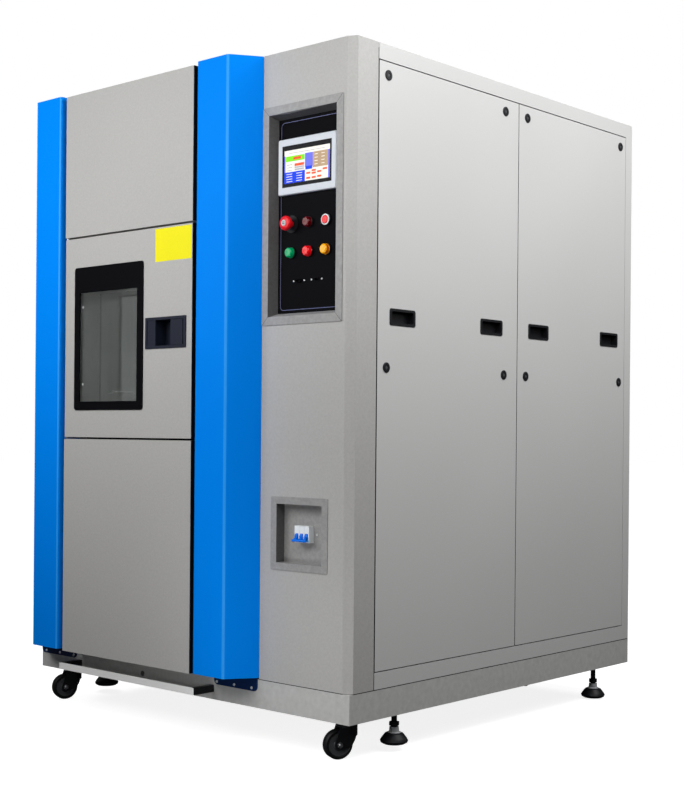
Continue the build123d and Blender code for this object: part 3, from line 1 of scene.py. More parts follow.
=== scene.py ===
# %% [markdown]
# # A three-zone thermal shock test chamber
# The machine is a tall sheet-metal cabinet on casters: two blue pillars, a grey
# door with a window between them, and a control column on the right. The CAD
# model already has every panel at its real size, so this file gives the metal,
# plastic and glass their finish, and models the small things that are all looks:
# the display's picture, a printed outline, screws, seams and stickers.

# %% load the frame
import json
import math

import bmesh
import bpy
from mathutils import Matrix, Vector


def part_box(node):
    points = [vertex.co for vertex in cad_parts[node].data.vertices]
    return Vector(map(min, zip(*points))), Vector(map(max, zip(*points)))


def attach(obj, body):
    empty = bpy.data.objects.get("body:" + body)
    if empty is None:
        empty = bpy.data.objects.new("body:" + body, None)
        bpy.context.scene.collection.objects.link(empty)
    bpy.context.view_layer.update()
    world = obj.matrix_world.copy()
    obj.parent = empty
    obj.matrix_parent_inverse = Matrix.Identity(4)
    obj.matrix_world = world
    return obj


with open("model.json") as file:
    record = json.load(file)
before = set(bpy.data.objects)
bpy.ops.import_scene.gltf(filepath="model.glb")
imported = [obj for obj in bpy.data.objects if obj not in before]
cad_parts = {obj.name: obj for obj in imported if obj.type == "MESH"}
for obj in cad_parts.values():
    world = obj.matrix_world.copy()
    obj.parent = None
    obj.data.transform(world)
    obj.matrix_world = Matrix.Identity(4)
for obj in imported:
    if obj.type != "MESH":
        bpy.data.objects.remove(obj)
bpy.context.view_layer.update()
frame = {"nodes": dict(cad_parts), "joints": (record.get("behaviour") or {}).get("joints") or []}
nodes = frame["nodes"]

# %% [markdown]
# ## The camera
# A product photographer stood in front of the right-hand corner with a lens a
# little longer than normal. The optical axis is level, and the picture is
# shifted a little instead of tilted, so that upright edges stay upright. The lens,
# the place and the turn come from fitting a camera to the photograph. A Track To
# constraint would aim a camera quicker, but it can't hold a small roll.

# %% camera
CAMERA_PLACE = Vector((3.0505, -3.3590, 0.8734))
CAMERA_YAW = math.radians(41.9)
CAMERA_ROLL = math.radians(0.48)
LENS = 61.965
UPWARD_SHIFT = 0.0404
camera = bpy.data.objects.new("camera", bpy.data.cameras.new("camera"))
bpy.context.scene.collection.objects.link(camera)
bpy.context.scene.camera = camera
camera.data.lens = LENS
camera.data.shift_y = UPWARD_SHIFT
camera.data.clip_end = 60.0
level = Matrix.Rotation(CAMERA_YAW, 4, "Z") @ Matrix.Rotation(math.radians(90.0), 4, "X")
camera.matrix_world = Matrix.Translation(CAMERA_PLACE) @ level @ Matrix.Rotation(CAMERA_ROLL, 4, "Z")
print("camera at", tuple(round(v, 3) for v in camera.matrix_world.translation))


# %% [markdown]
# ## The room
# A studio sweep is white paper under large soft lamps. A white world would give
# that background, but it would also light the machine from every side and wash
# its paint out. So the world is white only where the camera sees it, straight or
# through glass, and almost dark to every other ray.

# %% world
def seen_directly(tree, *rays):
    """1 where one of these kinds of ray arrives, 0 elsewhere."""
    path = tree.nodes.new("ShaderNodeLightPath")
    value = path.outputs[rays[0]]
    for ray in rays[1:]:
        either = tree.nodes.new("ShaderNodeMath")
        either.operation = "MAXIMUM"
        tree.links.new(value, either.inputs[0])
        tree.links.new(path.outputs[ray], either.inputs[1])
        value = either.outputs[0]
    return value


bpy.context.scene.view_settings.view_transform = "Standard"
ROOM_LIGHT = 0.025
world = bpy.data.worlds.new("studio")
bpy.context.scene.world = world
world.use_nodes = True
sky = world.node_tree
sky.nodes.clear()
soft = sky.nodes.new("ShaderNodeBackground")
soft.inputs["Color"].default_value = (1.0, 1.0, 1.0, 1.0)
soft.inputs["Strength"].default_value = ROOM_LIGHT
white = sky.nodes.new("ShaderNodeBackground")
white.inputs["Color"].default_value = (1.0, 1.0, 1.0, 1.0)
white.inputs["Strength"].default_value = 1.0
mix = sky.nodes.new("ShaderNodeMixShader")
out = sky.nodes.new("ShaderNodeOutputWorld")
sky.links.new(seen_directly(sky, "Is Camera Ray", "Is Transmission Ray"), mix.inputs[0])
sky.links.new(soft.outputs[0], mix.inputs[1])
sky.links.new(white.outputs[0], mix.inputs[2])
sky.links.new(mix.outputs[0], out.inputs[0])
print("room light:", ROOM_LIGHT)

# %% [markdown]
# The paper is nearly white to the camera, with a faint shadow where the machine
# stands on it, and fades to pure white further out, where the background begins.
# To every other ray it is a dull grey, because bright paper would light the lower
# half of the machine as much as the lamps light the upper half. The distances are
# in metres from the middle of the machine.

# %% paper
def flat_sheet(name, size, height):
    """A square sheet of paper lying at a height."""
    mesh = bpy.data.meshes.new(name)
    sheet = bmesh.new()
    bmesh.ops.create_grid(sheet, x_segments=1, y_segments=1, size=size / 2)
    bmesh.ops.translate(sheet, verts=sheet.verts, vec=(0, 0, height))
    sheet.to_mesh(mesh)
    sheet.free()
    made = bpy.data.objects.new(name, mesh)
    bpy.context.scene.collection.objects.link(made)
    return made


NEAR_GLOW = 0.86
FADE_FROM = 1.0
FADE_TO = 2.4
floor = flat_sheet("floor", 60.0, 0.0)
paper = bpy.data.materials.new("paper")
paper.use_nodes = True
page = paper.node_tree
page.nodes.clear()
dull = page.nodes.new("ShaderNodeBsdfDiffuse")
dull.inputs["Color"].default_value = (0.08, 0.08, 0.08, 1.0)
pale = page.nodes.new("ShaderNodeBsdfDiffuse")
pale.inputs["Color"].default_value = (0.45, 0.45, 0.45, 1.0)
glow = page.nodes.new("ShaderNodeEmission")
glow.inputs["Color"].default_value = (1.0, 1.0, 1.0, 1.0)
where = page.nodes.new("ShaderNodeTexCoord")
reach = page.nodes.new("ShaderNodeVectorMath")
reach.operation = "LENGTH"
fade = page.nodes.new("ShaderNodeMapRange")
fade.inputs["From Min"].default_value = FADE_FROM
fade.inputs["From Max"].default_value = FADE_TO
fade.inputs["To Min"].default_value = NEAR_GLOW
fade.inputs["To Max"].default_value = 1.0
page.links.new(where.outputs["Object"], reach.inputs[0])
page.links.new(reach.outputs["Value"], fade.inputs["Value"])
page.links.new(fade.outputs["Result"], glow.inputs["Strength"])
lit = page.nodes.new("ShaderNodeAddShader")
page.links.new(pale.outputs[0], lit.inputs[0])
page.links.new(glow.outputs[0], lit.inputs[1])
choose = page.nodes.new("ShaderNodeMixShader")
page.links.new(seen_directly(page, "Is Camera Ray", "Is Transmission Ray"), choose.inputs[0])
page.links.new(dull.outputs[0], choose.inputs[1])
page.links.new(lit.outputs[0], choose.inputs[2])
shown = page.nodes.new("ShaderNodeOutputMaterial")
page.links.new(choose.outputs[0], shown.inputs[0])
floor.data.materials.append(paper)
print("floor", floor.dimensions.x, "m wide")


# %% [markdown]
# Seven soft boxes light the machine. A big one high on the right and a weaker one
# below it light the side panels, which are brightest at the top. One in front
# lights the door and the pillars, one at the corner the bevelled flanks, and a
# small one low in front the foot of the control column. The last two light the
# sides that face away. A sun lamp would be simpler, but it lights the top and the
# foot of a tall panel alike. The powers come from renders with one lamp at a time,
# whose light can be added up, and the last two from views of the rear.

# %% lamps
def soft_box(name, place, target, width, height, power):
    """A rectangular lamp at a place that faces a point. The power is in watts."""
    lamp = bpy.data.lights.new(name, "AREA")
    lamp.shape = "RECTANGLE"
    lamp.size = width
    lamp.size_y = height
    lamp.energy = power
    made = bpy.data.objects.new(name, lamp)
    made.location = place
    made.rotation_euler = (Vector(target) - Vector(place)).to_track_quat("-Z", "Y").to_euler()
    bpy.context.scene.collection.objects.link(made)
    return made


soft_box("lamp_right", (2.15, 0.35, 2.9), (0.67, 0.1, 1.45), 2.8, 0.9, 47.3)
soft_box("lamp_right_low", (2.3, 0.2, 1.9), (0.67, 0.1, 1.45), 2.4, 0.9, 11.4)
soft_box("lamp_front", (-0.6, -2.3, 1.8), (-0.2, -0.7, 1.45), 1.4, 1.0, 28.0)
soft_box("lamp_corner", (1.33, -1.72, 2.0), (0.33, -0.72, 1.5), 0.9, 0.9, 11.9)
soft_box("lamp_column", (0.62, -1.35, 0.26), (0.5, -0.67, 0.22), 0.3, 0.2, 1.6)
soft_box("lamp_left", (-2.5, 0.35, 2.0), (-0.67, 0.1, 1.0), 1.5, 1.0, 36.0)
soft_box("lamp_back", (0.0, 2.9, 2.0), (0.0, 0.7, 1.0), 2.0, 1.0, 36.0)
print("lamps:", len(bpy.data.lights))


# %% [markdown]
# ## Powder coat
# Powder coat is paint melted onto the metal from dry grains. Close up it has
# an orange-peel skin and tiny lighter and darker grains. One noise gives the
# grains their colour, and the same noise lifts the surface a few hundredths of
# a millimetre. A second, very broad noise keeps large panels from looking flat.
# A picture of real paint would need a UV map on every panel, and noise on the
# object's own coordinates needs none. These helpers build every finish.

# %% helpers for finishes
def new_finish(name, roughness, metallic=0.0):
    """A material, its node tree and its shader."""
    made = bpy.data.materials.new(name)
    made.use_nodes = True
    shader = made.node_tree.nodes["Principled BSDF"]
    shader.inputs["Roughness"].default_value = roughness
    shader.inputs["Metallic"].default_value = metallic
    return made, made.node_tree, shader


def grain(tree, scale, detail=2.0, stretch=(1.0, 1.0, 1.0)):
    """Noise on the object's own coordinates, squeezed or drawn out along each axis."""
    place = tree.nodes.new("ShaderNodeTexCoord")
    mapping = tree.nodes.new("ShaderNodeMapping")
    mapping.inputs["Scale"].default_value = stretch
    noise = tree.nodes.new("ShaderNodeTexNoise")
    noise.inputs["Scale"].default_value = scale
    noise.inputs["Detail"].default_value = detail
    tree.links.new(place.outputs["Object"], mapping.inputs["Vector"])
    tree.links.new(mapping.outputs["Vector"], noise.inputs["Vector"])
    return noise.outputs["Fac"]


def ramp(tree, source, low, high, start=0.3, end=0.7):
    """Two colours blended by a value."""
    blend = tree.nodes.new("ShaderNodeValToRGB")
    blend.color_ramp.elements[0].position = start
    blend.color_ramp.elements[0].color = low
    blend.color_ramp.elements[1].position = end
    blend.color_ramp.elements[1].color = high
    tree.links.new(source, blend.inputs["Fac"])
    return blend.outputs["Color"]


def raise_skin(tree, shader, source, strength, depth):
    """Bump from a value."""
    bump = tree.nodes.new("ShaderNodeBump")
    bump.inputs["Strength"].default_value = strength
    bump.inputs["Distance"].default_value = depth
    tree.links.new(source, bump.inputs["Height"])
    tree.links.new(bump.outputs["Normal"], shader.inputs["Normal"])


def shade(colour, factor):
    """A colour made darker or lighter by a factor."""
    return tuple(min(1.0, part * factor) for part in colour[:3]) + (1.0,)


def multiply(tree, first, second):
    """Two colours multiplied. Inputs 6 and 7 and output 2 are the colour ones."""
    both = tree.nodes.new("ShaderNodeMix")
    both.data_type = "RGBA"
    both.blend_type = "MULTIPLY"
    both.inputs["Factor"].default_value = 1.0
    tree.links.new(first, both.inputs[6])
    tree.links.new(second, both.inputs[7])
    return both.outputs[2]


print("helpers for finishes are ready")

# %% [markdown]
# Each coat is its colour, the contrast and the size of its grains, and how rough
# it is. The grey of the front has coarse grains, the plinth coarser ones and the
# side panels hardly any. The blue and the black barely shine, because a strong
# highlight would turn a deep colour pale.

# %% powder coats
SKIN_DEPTH = 0.0002
CLOUD_SCALE = 1.7


def linear(red, green, blue):
    """A colour written as screen values from 0 to 255, as the shader wants it."""
    def one(value):
        value = value / 255.0
        return value / 12.92 if value <= 0.04045 else ((value + 0.055) / 1.055) ** 2.4

    return (one(red), one(green), one(blue), 1.0)


def powder_coat(name, colour, speckle, scale, roughness, broad=0.04, shine=0.35):
    """Paint with grains of a size and a contrast, under a broad faint cloud."""
    made, tree, shader = new_finish(name, roughness)
    shader.inputs["Specular IOR Level"].default_value = shine
    fine = grain(tree, scale, 3.0)
    grains = ramp(tree, fine, shade(colour, 1.0 - speckle), shade(colour, 1.0 + speckle))
    wide = grain(tree, CLOUD_SCALE, 1.0)
    cloud = ramp(tree, wide, (1.0 - broad,) * 3 + (1.0,), (1.0, 1.0, 1.0, 1.0))
    tree.links.new(multiply(tree, grains, cloud), shader.inputs["Base Color"])
    raise_skin(tree, shader, fine, 0.25, SKIN_DEPTH)
    return made


grey_coat = powder_coat("grey_coat", linear(184, 183, 181), 0.05, 170.0, 0.5)
side_coat = powder_coat("side_coat", linear(206, 206, 205), 0.012, 500.0, 0.42)
plinth_coat = powder_coat("plinth_coat", linear(196, 196, 194), 0.07, 60.0, 0.5)
blue_coat = powder_coat("blue_coat", linear(0, 138, 252), 0.02, 500.0, 0.5, broad=0.02, shine=0.02)
# painted highlight: a lighter blue that stands in for light catching the pillars' bends
fold_highlight_coat = powder_coat("fold_highlight_coat", linear(48, 160, 255), 0.02, 500.0, 0.4, broad=0.02, shine=0.1)
navy_coat = powder_coat("navy_coat", linear(0, 35, 82), 0.04, 500.0, 0.4)
# dark_coat is the black of real parts, and it also serves as painted shade in seams and gaps
dark_coat = powder_coat("dark_coat", linear(15, 15, 18), 0.08, 600.0, 0.5, shine=0.015)
bezel_coat = powder_coat("bezel_coat", linear(158, 157, 156), 0.10, 110.0, 0.5)
bar_coat = powder_coat("bar_coat", linear(248, 248, 247), 0.02, 700.0, 0.35)
# painted shade for the inner walls of the two recesses
shadow_coat = powder_coat("shadow_coat", linear(96, 95, 95), 0.10, 110.0, 0.6, shine=0.1)
print("coats:", len([made for made in bpy.data.materials if made.name.endswith("_coat")]))


# %% [markdown]
# ## Bare metal, plastic and glass
# Brushed stainless steel has fine scratches along one direction, made by a noise
# that is drawn out along that axis and squeezed across it. Zinc and copper have
# an even mottle instead. Anisotropic shading would draw out only the highlights,
# and this draws out the tone and the relief too.

# %% bare metal
def brushed(name, colour, roughness, stretch, scale=60.0):
    """Metal scratched along the axis with the smallest scale, or mottled evenly."""
    made, tree, shader = new_finish(name, roughness, 1.0)
    lines = grain(tree, scale, 3.0, stretch)
    tone = ramp(tree, lines, shade(colour, 0.86), shade(colour, 1.06))
    tree.links.new(tone, shader.inputs["Base Color"])
    raise_skin(tree, shader, lines, 0.12, SKIN_DEPTH)
    return made


stainless = brushed("stainless", linear(176, 176, 174), 0.32, (14.0, 14.0, 0.4))
liner_steel = brushed("liner_steel", linear(206, 206, 204), 0.4, (1.0, 1.0, 0.01), 24.0)
zinc = brushed("zinc", linear(170, 172, 175), 0.35, (3.0, 3.0, 3.0), 90.0)
copper = brushed("copper", linear(190, 122, 84), 0.35, (4.0, 4.0, 4.0))
print("bare metals:", stainless.name, liner_steel.name, zinc.name, copper.name)


# %% [markdown]
# Plastic, rubber and foam come out of a mould with fine pores. The pores colour
# the surface and lift it, as the grains do in the powder coat, but there is no
# broad cloud over them.

# %% plastic, rubber and foam
def moulded(name, colour, roughness, texture=0.15, scale=900.0, variation=0.05, shine=0.22):
    """Plastic, rubber, foam or paper with fine pores."""
    made, tree, shader = new_finish(name, roughness)
    shader.inputs["Specular IOR Level"].default_value = shine
    pores = grain(tree, scale, 2.0)
    tone = ramp(tree, pores, shade(colour, 1.0 - variation), shade(colour, 1.0 + variation))
    tree.links.new(tone, shader.inputs["Base Color"])
    raise_skin(tree, shader, pores, texture, SKIN_DEPTH / 2)
    return made


black_plastic = moulded("black_plastic", linear(26, 27, 30), 0.42)
latch_plastic = moulded("latch_plastic", linear(24, 30, 46), 0.6)
white_plastic = moulded("white_plastic", linear(244, 248, 251), 0.4)
pale_plastic = moulded("pale_plastic", linear(214, 219, 226), 0.35)
blue_plastic = moulded("blue_plastic", linear(0, 118, 240), 0.3)
red_plastic = moulded("red_plastic", linear(236, 22, 34), 0.28)
foam = moulded("foam", linear(226, 220, 196), 0.9, 0.6, 160.0, 0.1)
rubber = moulded("rubber", linear(28, 28, 29), 0.6)
tread = moulded("tread", linear(22, 22, 24), 0.5)
print("materials so far:", len(bpy.data.materials))


# %% [markdown]
# The window's glass is clear with a faint green-grey body. A thin transparent
# film would be cheaper to render, but real panes bend and reflect the light.

# %% glass
def clear_glass(name, tint):
    """Polished glass with a tint that varies a little from place to place."""
    made, tree, shader = new_finish(name, 0.0)
    veil = grain(tree, 9.0, 4.0)
    tone = ramp(tree, veil, shade(tint, 0.94), tint)
    tree.links.new(tone, shader.inputs["Base Color"])
    shader.inputs["Transmission Weight"].default_value = 1.0
    shader.inputs["IOR"].default_value = 1.45
    return made


pane_glass = clear_glass("pane_glass", (0.93, 0.96, 0.95, 1.0))
print("glass:", pane_glass.name)


# %% [markdown]
# ## Finishes on the CAD parts
# Each CAD part keeps its shape and gets the finish of the real piece. The sheet
# metal needs no new mesh, because the CAD already has its folds and bends. The
# power button and the display's glass get their finishes in cells of their own.

# %% paint the nodes
def paint(material, *names):
    """One finish for the whole of each named CAD part."""
    for name in names:
        slots = nodes[name].data.materials
        slots.clear()
        slots.append(material)


FRONT_PANELS = ("upper_front_panel", "lower_front_panel", "door_shell")
PILLARS = ("left_pillar", "right_pillar")
RECESSES = ("control_bezel", "breaker_recess")
CORNERS = ("front_left", "front_right", "rear_left", "rear_right")
paint(grey_coat, "control_fascia", *FRONT_PANELS)
paint(side_coat, "cabinet_frame", "top_cover", "side_panels", "rear_panels")
paint(plinth_coat, "base_frame")
paint(blue_coat, *PILLARS)
paint(bar_coat, "step_bar")
paint(bezel_coat, *RECESSES)
paint(dark_coat, "front_frame", "control_plate", "window_frame", "data_ports")
paint(dark_coat, "fan_motors", "refrigeration_plant", "electrical_plate")
paint(black_plastic, "panel_pulls", "panel_locks", "signal_lamps")
paint(latch_plastic, "latch_housing", "latch_paddle")
paint(white_plastic, "breaker_body")
paint(pale_plastic, "screen_housing")
paint(blue_plastic, "breaker_toggle")
paint(red_plastic, "estop_button")
paint(liner_steel, "chamber_liner")
paint(stainless, "door_liner", "specimen_shelf", "heater_bank")
paint(stainless, "hot_fan", "cold_fan", "hot_damper", "cold_damper")
paint(copper, "evaporator")
paint(foam, "insulated_body")
paint(rubber, "door_gasket")
paint(pane_glass, "window_panes")
paint(zinc, "rear_fittings", "latch_bolt", "door_hardware", "caster_plates")
for corner in CORNERS:
    paint(black_plastic, "caster_fork_" + corner)
    paint(tread, "caster_wheel_" + corner)
    paint(black_plastic, "level_foot_" + corner)
print("CAD parts:", len(nodes))


# %% [markdown]
# ## Two finishes on one CAD part
# Some parts are bought ready made from several materials: a lamp has a coloured
# cap on a black base, a level foot has a bright collar on a black pad. Their
# shape is right already, so only the faces chosen by place or direction get a
# second finish. A cut through the part would do the same, but then it would no
# longer be the CAD's own. Lenses glow a little in their own colour, and the side
# of the amber one is darker than its face.

# %% lamps and their lenses
def paint_where(material, name, chosen):
    """A second finish on the faces of a CAD part that a test picks out."""
    mesh = nodes[name].data
    mesh.materials.append(material)
    slot = len(mesh.materials) - 1
    count = 0
    for face in mesh.polygons:
        if chosen(face.center, face.normal):
            face.material_index = slot
            count += 1
    return count


def near_axis(face_centre, x, z, radius):
    """True within a radius of a line that runs from front to back."""
    return math.hypot(face_centre.x - x, face_centre.z - z) < radius


def glowing(name, colour, strength=0.3, roughness=0.5, shine=0.05):
    """A surface that is lit from behind in its own colour."""
    made, tree, shader = new_finish(name, roughness)
    shader.inputs["Specular IOR Level"].default_value = shine
    fine = grain(tree, 1500.0, 1.0)
    tone = ramp(tree, fine, shade(colour, 0.97), colour)
    tree.links.new(tone, shader.inputs["Base Color"])
    tree.links.new(tone, shader.inputs["Emission Color"])
    shader.inputs["Emission Strength"].default_value = strength
    return made


COLUMNS = (0.4175, 0.483, 0.5485)
UPPER_ROW = 1.444
LOWER_ROW = 1.365
PLATE_Y = -0.638
LENS_Y = PLATE_Y - 0.0035
LENS_REACH = 0.014
green_lens = glowing("green_lens", linear(0, 160, 98), 0.2, roughness=0.2, shine=0.2)
red_lens = glowing("red_lens", linear(226, 14, 24), 0.25, roughness=0.2, shine=0.2)
amber_lens = glowing("amber_lens", linear(250, 172, 0), 0.25, roughness=0.2, shine=0.2)
amber_side = glowing("amber_side", linear(222, 100, 4), 0.1)
alarm_lens = moulded("alarm_lens", linear(106, 6, 16), 0.2, 0.02, variation=0.02, shine=0.2)
paint(red_lens, "power_button")
lamp_colours = (
    (green_lens, COLUMNS[0], LOWER_ROW), (red_lens, COLUMNS[1], LOWER_ROW),
    (amber_lens, COLUMNS[2], LOWER_ROW), (alarm_lens, COLUMNS[1], UPPER_ROW),
)
for lens, x, z in lamp_colours:
    count = paint_where(lens, "signal_lamps", lambda c, n: near_axis(c, x, z, LENS_REACH) and c.y < LENS_Y)
    print(lens.name, count)
paint_where(
    amber_side, "signal_lamps",
    lambda c, n: near_axis(c, COLUMNS[2], LOWER_ROW, LENS_REACH) and c.y < LENS_Y and n.y > -0.6,
)

# %% [markdown]
# The power button sits in a white collar with a black side, and the emergency stop
# on a black ring. Both belong to the control plate in the CAD, so a test of the
# distance from the button's axis finds their faces.

# %% collars and ring
COLLAR_REACH = 0.017
RING_REACH = 0.026
RAISED_Y = PLATE_Y - 0.0005
collars = paint_where(
    white_plastic, "control_plate",
    lambda c, n: near_axis(c, COLUMNS[2], UPPER_ROW, COLLAR_REACH) and c.y < RAISED_Y and n.y < -0.5,
)
sides = paint_where(
    black_plastic, "control_plate",
    lambda c, n: near_axis(c, COLUMNS[2], UPPER_ROW, COLLAR_REACH) and c.y < RAISED_Y and n.y >= -0.5,
)
rings = paint_where(
    rubber, "control_plate", lambda c, n: near_axis(c, COLUMNS[0], UPPER_ROW, RING_REACH) and c.y < RAISED_Y
)
print("collar faces:", collars, sides, rings)

# %% [markdown]
# A level foot has a bright steel collar above its black pad. A caster wheel has a
# dark grey hub inside a black tread. Heights and distances are measured from each
# part's own box, so they hold wherever the part stands.

# %% feet and wheels
FOOT_COLLAR = (0.031, 0.047)
HUB_REACH = 0.0335
collar_steel = moulded("collar_steel", linear(176, 178, 180), 0.35)
rim_metal = moulded("rim_metal", linear(74, 76, 78), 0.35)
for corner in CORNERS:
    foot = "level_foot_" + corner
    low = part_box(foot)[0][2]
    paint_where(collar_steel, foot, lambda c, n: low + FOOT_COLLAR[0] < c.z < low + FOOT_COLLAR[1])
    wheel = "caster_wheel_" + corner
    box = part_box(wheel)
    middle = (Vector(box[0]) + Vector(box[1])) / 2
    hub = paint_where(rim_metal, wheel, lambda c, n: (c - middle).length < HUB_REACH and abs(n.z) < 0.35)
    print(wheel, "hub faces:", hub)

# %% [markdown]
# Folded sheet metal looks different where it bends or ends. The bend of a pillar
# has a painted highlight in a lighter blue, its foot flange is navy, and the edges
# beside a seam are black as painted shade. The walls of the two recesses get a
# darker grey as painted shade, and the step bar hangs on black arms. A face's own
# direction and place tell them all apart.

# %% folds, flanges and seam edges
FLANGE_TOP = 0.1885
RECESS_LIP_Y = -0.6655
BAR_BACK_Y = -0.7395
PANEL_EDGE_X = 0.655
# painted highlight in a lighter blue on the bend of each pillar
folds = [paint_where(fold_highlight_coat, name, lambda c, n: n.y < -0.72 and 0.12 < n.x < 0.69) for name in PILLARS]
flanges = [paint_where(navy_coat, name, lambda c, n: c.z < FLANGE_TOP) for name in PILLARS]
# painted shade: the sides of the front panels that face a seam are black
shaded_seam_sides = [paint_where(dark_coat, name, lambda c, n: n.x > 0.6) for name in FRONT_PANELS]
# painted shade: the folded returns of the side panels, deep in the gaps, are black
edges = paint_where(dark_coat, "side_panels", lambda c, n: abs(n.x) < 0.3 and abs(c.x) > PANEL_EDGE_X)
# painted shade: a darker grey on the inner walls of the recesses
walls = [
    paint_where(shadow_coat, name, lambda c, n: c.y > RECESS_LIP_Y and max(n.x, -n.z) > 0.7)
    for name in RECESSES
]
arms = paint_where(black_plastic, "step_bar", lambda c, n: c.y > BAR_BACK_Y or abs(n.x) > 0.9)
print("folds", folds, "flanges", flanges, "seam sides", shaded_seam_sides)
print("panel edges", edges, "recess walls", walls, "arms", arms)


# %% [markdown]
# ## Small pieces of boxes
# Stickers, seams and the display's picture are thin plates: a cube stretched
# between two corners. Each rides on the CAD body that carries it. A texture could
# show them flat, but a mesh keeps its edge in every view.

# %% plates
def add_box(shape, x0, x1, y0, y1, z0, z1):
    """A box between two corners, added to a bmesh."""
    made = bmesh.ops.create_cube(shape, size=1.0)["verts"]
    bmesh.ops.scale(shape, verts=made, vec=(x1 - x0, y1 - y0, z1 - z0))
    bmesh.ops.translate(shape, verts=made, vec=((x0 + x1) / 2, (y0 + y1) / 2, (z0 + z1) / 2))
    return made


def finish_piece(name, shape, material, body):
    """A bmesh made into a piece that rides on a body."""
    bmesh.ops.recalc_face_normals(shape, faces=shape.faces)
    mesh = bpy.data.meshes.new(name)
    shape.to_mesh(mesh)
    shape.free()
    mesh.materials.append(material)
    made = bpy.data.objects.new(name, mesh)
    bpy.context.scene.collection.objects.link(made)
    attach(made, body)
    return made


def plates(name, material, body, boxes):
    """One piece made of several boxes."""
    shape = bmesh.new()
    for corners_of_box in boxes:
        add_box(shape, *corners_of_box)
    return finish_piece(name, shape, material, body)


print("helpers for plates are ready")


# %% [markdown]
# ## The touch display's picture
# A made-up page of coloured blocks fills the display: a header, a green field,
# two lists and small keys at the foot. Every block is a plate, 0.1 mm thick, on the
# glass, and the light of the display is a weak emission of the same colour. One
# plate with an image would need a picture file, and blocks need none.

# %% display picture
PICTURE = (0.3985, 0.5675, 1.5545, 1.6445)
SCREEN_Y = -0.6494
LAYER = 0.0001


def picture_block(left, right, bottom, top, layer):
    """A block of the page, placed by fractions of its width and height."""
    x0, x1, z0, z1 = PICTURE
    front = SCREEN_Y - LAYER * layer
    return (
        x0 + (x1 - x0) * left, x0 + (x1 - x0) * right, front - LAYER, front,
        z0 + (z1 - z0) * bottom, z0 + (z1 - z0) * top,
    )


cream = glowing("page_cream", linear(238, 236, 226))
page_blue = glowing("page_blue", linear(34, 72, 226))
page_violet = glowing("page_violet", linear(112, 118, 238))
page_green = glowing("page_green", linear(132, 226, 40))
page_tan = glowing("page_tan", linear(186, 158, 128))
page_orange = glowing("page_orange", linear(244, 92, 54))
page_grey = glowing("page_grey", linear(176, 178, 186))
plates("display_page", cream, "cabinet", [picture_block(0.0, 1.0, 0.0, 1.0, 0)])
plates("display_violet", page_violet, "cabinet", [
    picture_block(0.46, 0.63, 0.42, 0.84, 1), picture_block(0.965, 1.0, 0.0, 0.84, 1),
    picture_block(0.0, 0.025, 0.0, 0.84, 1),
])
plates("display_green", page_green, "cabinet", [picture_block(0.03, 0.45, 0.66, 0.82, 1)])
plates("display_blue", page_blue, "cabinet", [
    picture_block(0.0, 0.46, 0.0, 0.34, 2), picture_block(0.47, 0.62, 0.34, 0.44, 2),
])
plates("display_tan", page_tan, "cabinet", [picture_block(0.63, 0.965, 0.37, 0.84, 1)])
print("display layer:", LAYER, "m")

# %% [markdown]
# Small marks lie on the coloured fields, one or two layers further out, so that
# no two faces share a plane and flicker. Loops lay out the ones that stand in
# rows. All marks of one colour are one piece.

# %% display marks
marks = [picture_block(0.23, 0.44, 0.50, 0.58, 2), picture_block(0.20, 0.37, 0.70, 0.78, 2)]
KEYS = ((0, 0.20), (1, 0.26), (1, 0.18), (2, 0.20), (3, 0.26), (0, 0.05), (1, 0.05), (2, 0.06))
marks += [
    picture_block(0.49 + 0.12 * step, 0.58 + 0.12 * step, height, height + 0.055, 2) for step, height in KEYS
]
plates("display_orange", page_orange, "cabinet", marks)
pale_marks = [picture_block(0.23, 0.44, 0.37 + 0.065 * row, 0.42 + 0.065 * row, 2) for row in range(2)]
pale_marks += [picture_block(0.06, 0.18, 0.38 + 0.085 * row, 0.40 + 0.085 * row, 2) for row in range(3)]
pale_marks += [picture_block(0.10, 0.90, 0.90, 0.915, 2)]
plates("display_grey", page_grey, "cabinet", pale_marks)
dashes = [
    picture_block(0.05 + 0.22 * step, 0.18 + 0.22 * step, 0.04 + 0.075 * row, 0.06 + 0.075 * row, 3)
    for row in range(4) for step in range(2)
]
dashes += [
    picture_block(0.67 + 0.15 * step, 0.74 + 0.15 * step, 0.45 + 0.1 * row, 0.47 + 0.1 * row, 3)
    for row in range(4) for step in range(2)
]
plates("display_dashes", cream, "cabinet", dashes)
print("marks:", len(marks), "pale marks:", len(pale_marks), "dashes:", len(dashes))

# %% [markdown]
# Round the picture the display has a border that is nearly black. It hardly
# shines, because a strong highlight would make it grey.

# %% display border
display_glass, glass_tree, glass_shader = new_finish("display_glass", 0.3)
glass_shader.inputs["Specular IOR Level"].default_value = 0.05
glass_grain = grain(glass_tree, 300.0, 1.0)
glass_tree.links.new(
    ramp(glass_tree, glass_grain, linear(9, 10, 14), linear(12, 13, 18)), glass_shader.inputs["Base Color"]
)
paint(display_glass, "screen_glass")
print("screen finish:", display_glass.name)


# %% [markdown]
# ## Printed outline, screws and stickers
# The control plate carries a thin outline with round corners. It starts as a
# one-face grid, its corners are bevelled round, it is inset by the line's width,
# and the middle is thrown away. A curve with a bevel would make a round wire, and
# this line is flat and 0.15 mm high.

# %% printed outline
INK_HEIGHT = 0.00015
TO_FRONT = Matrix.Rotation(math.radians(90.0), 4, "X")


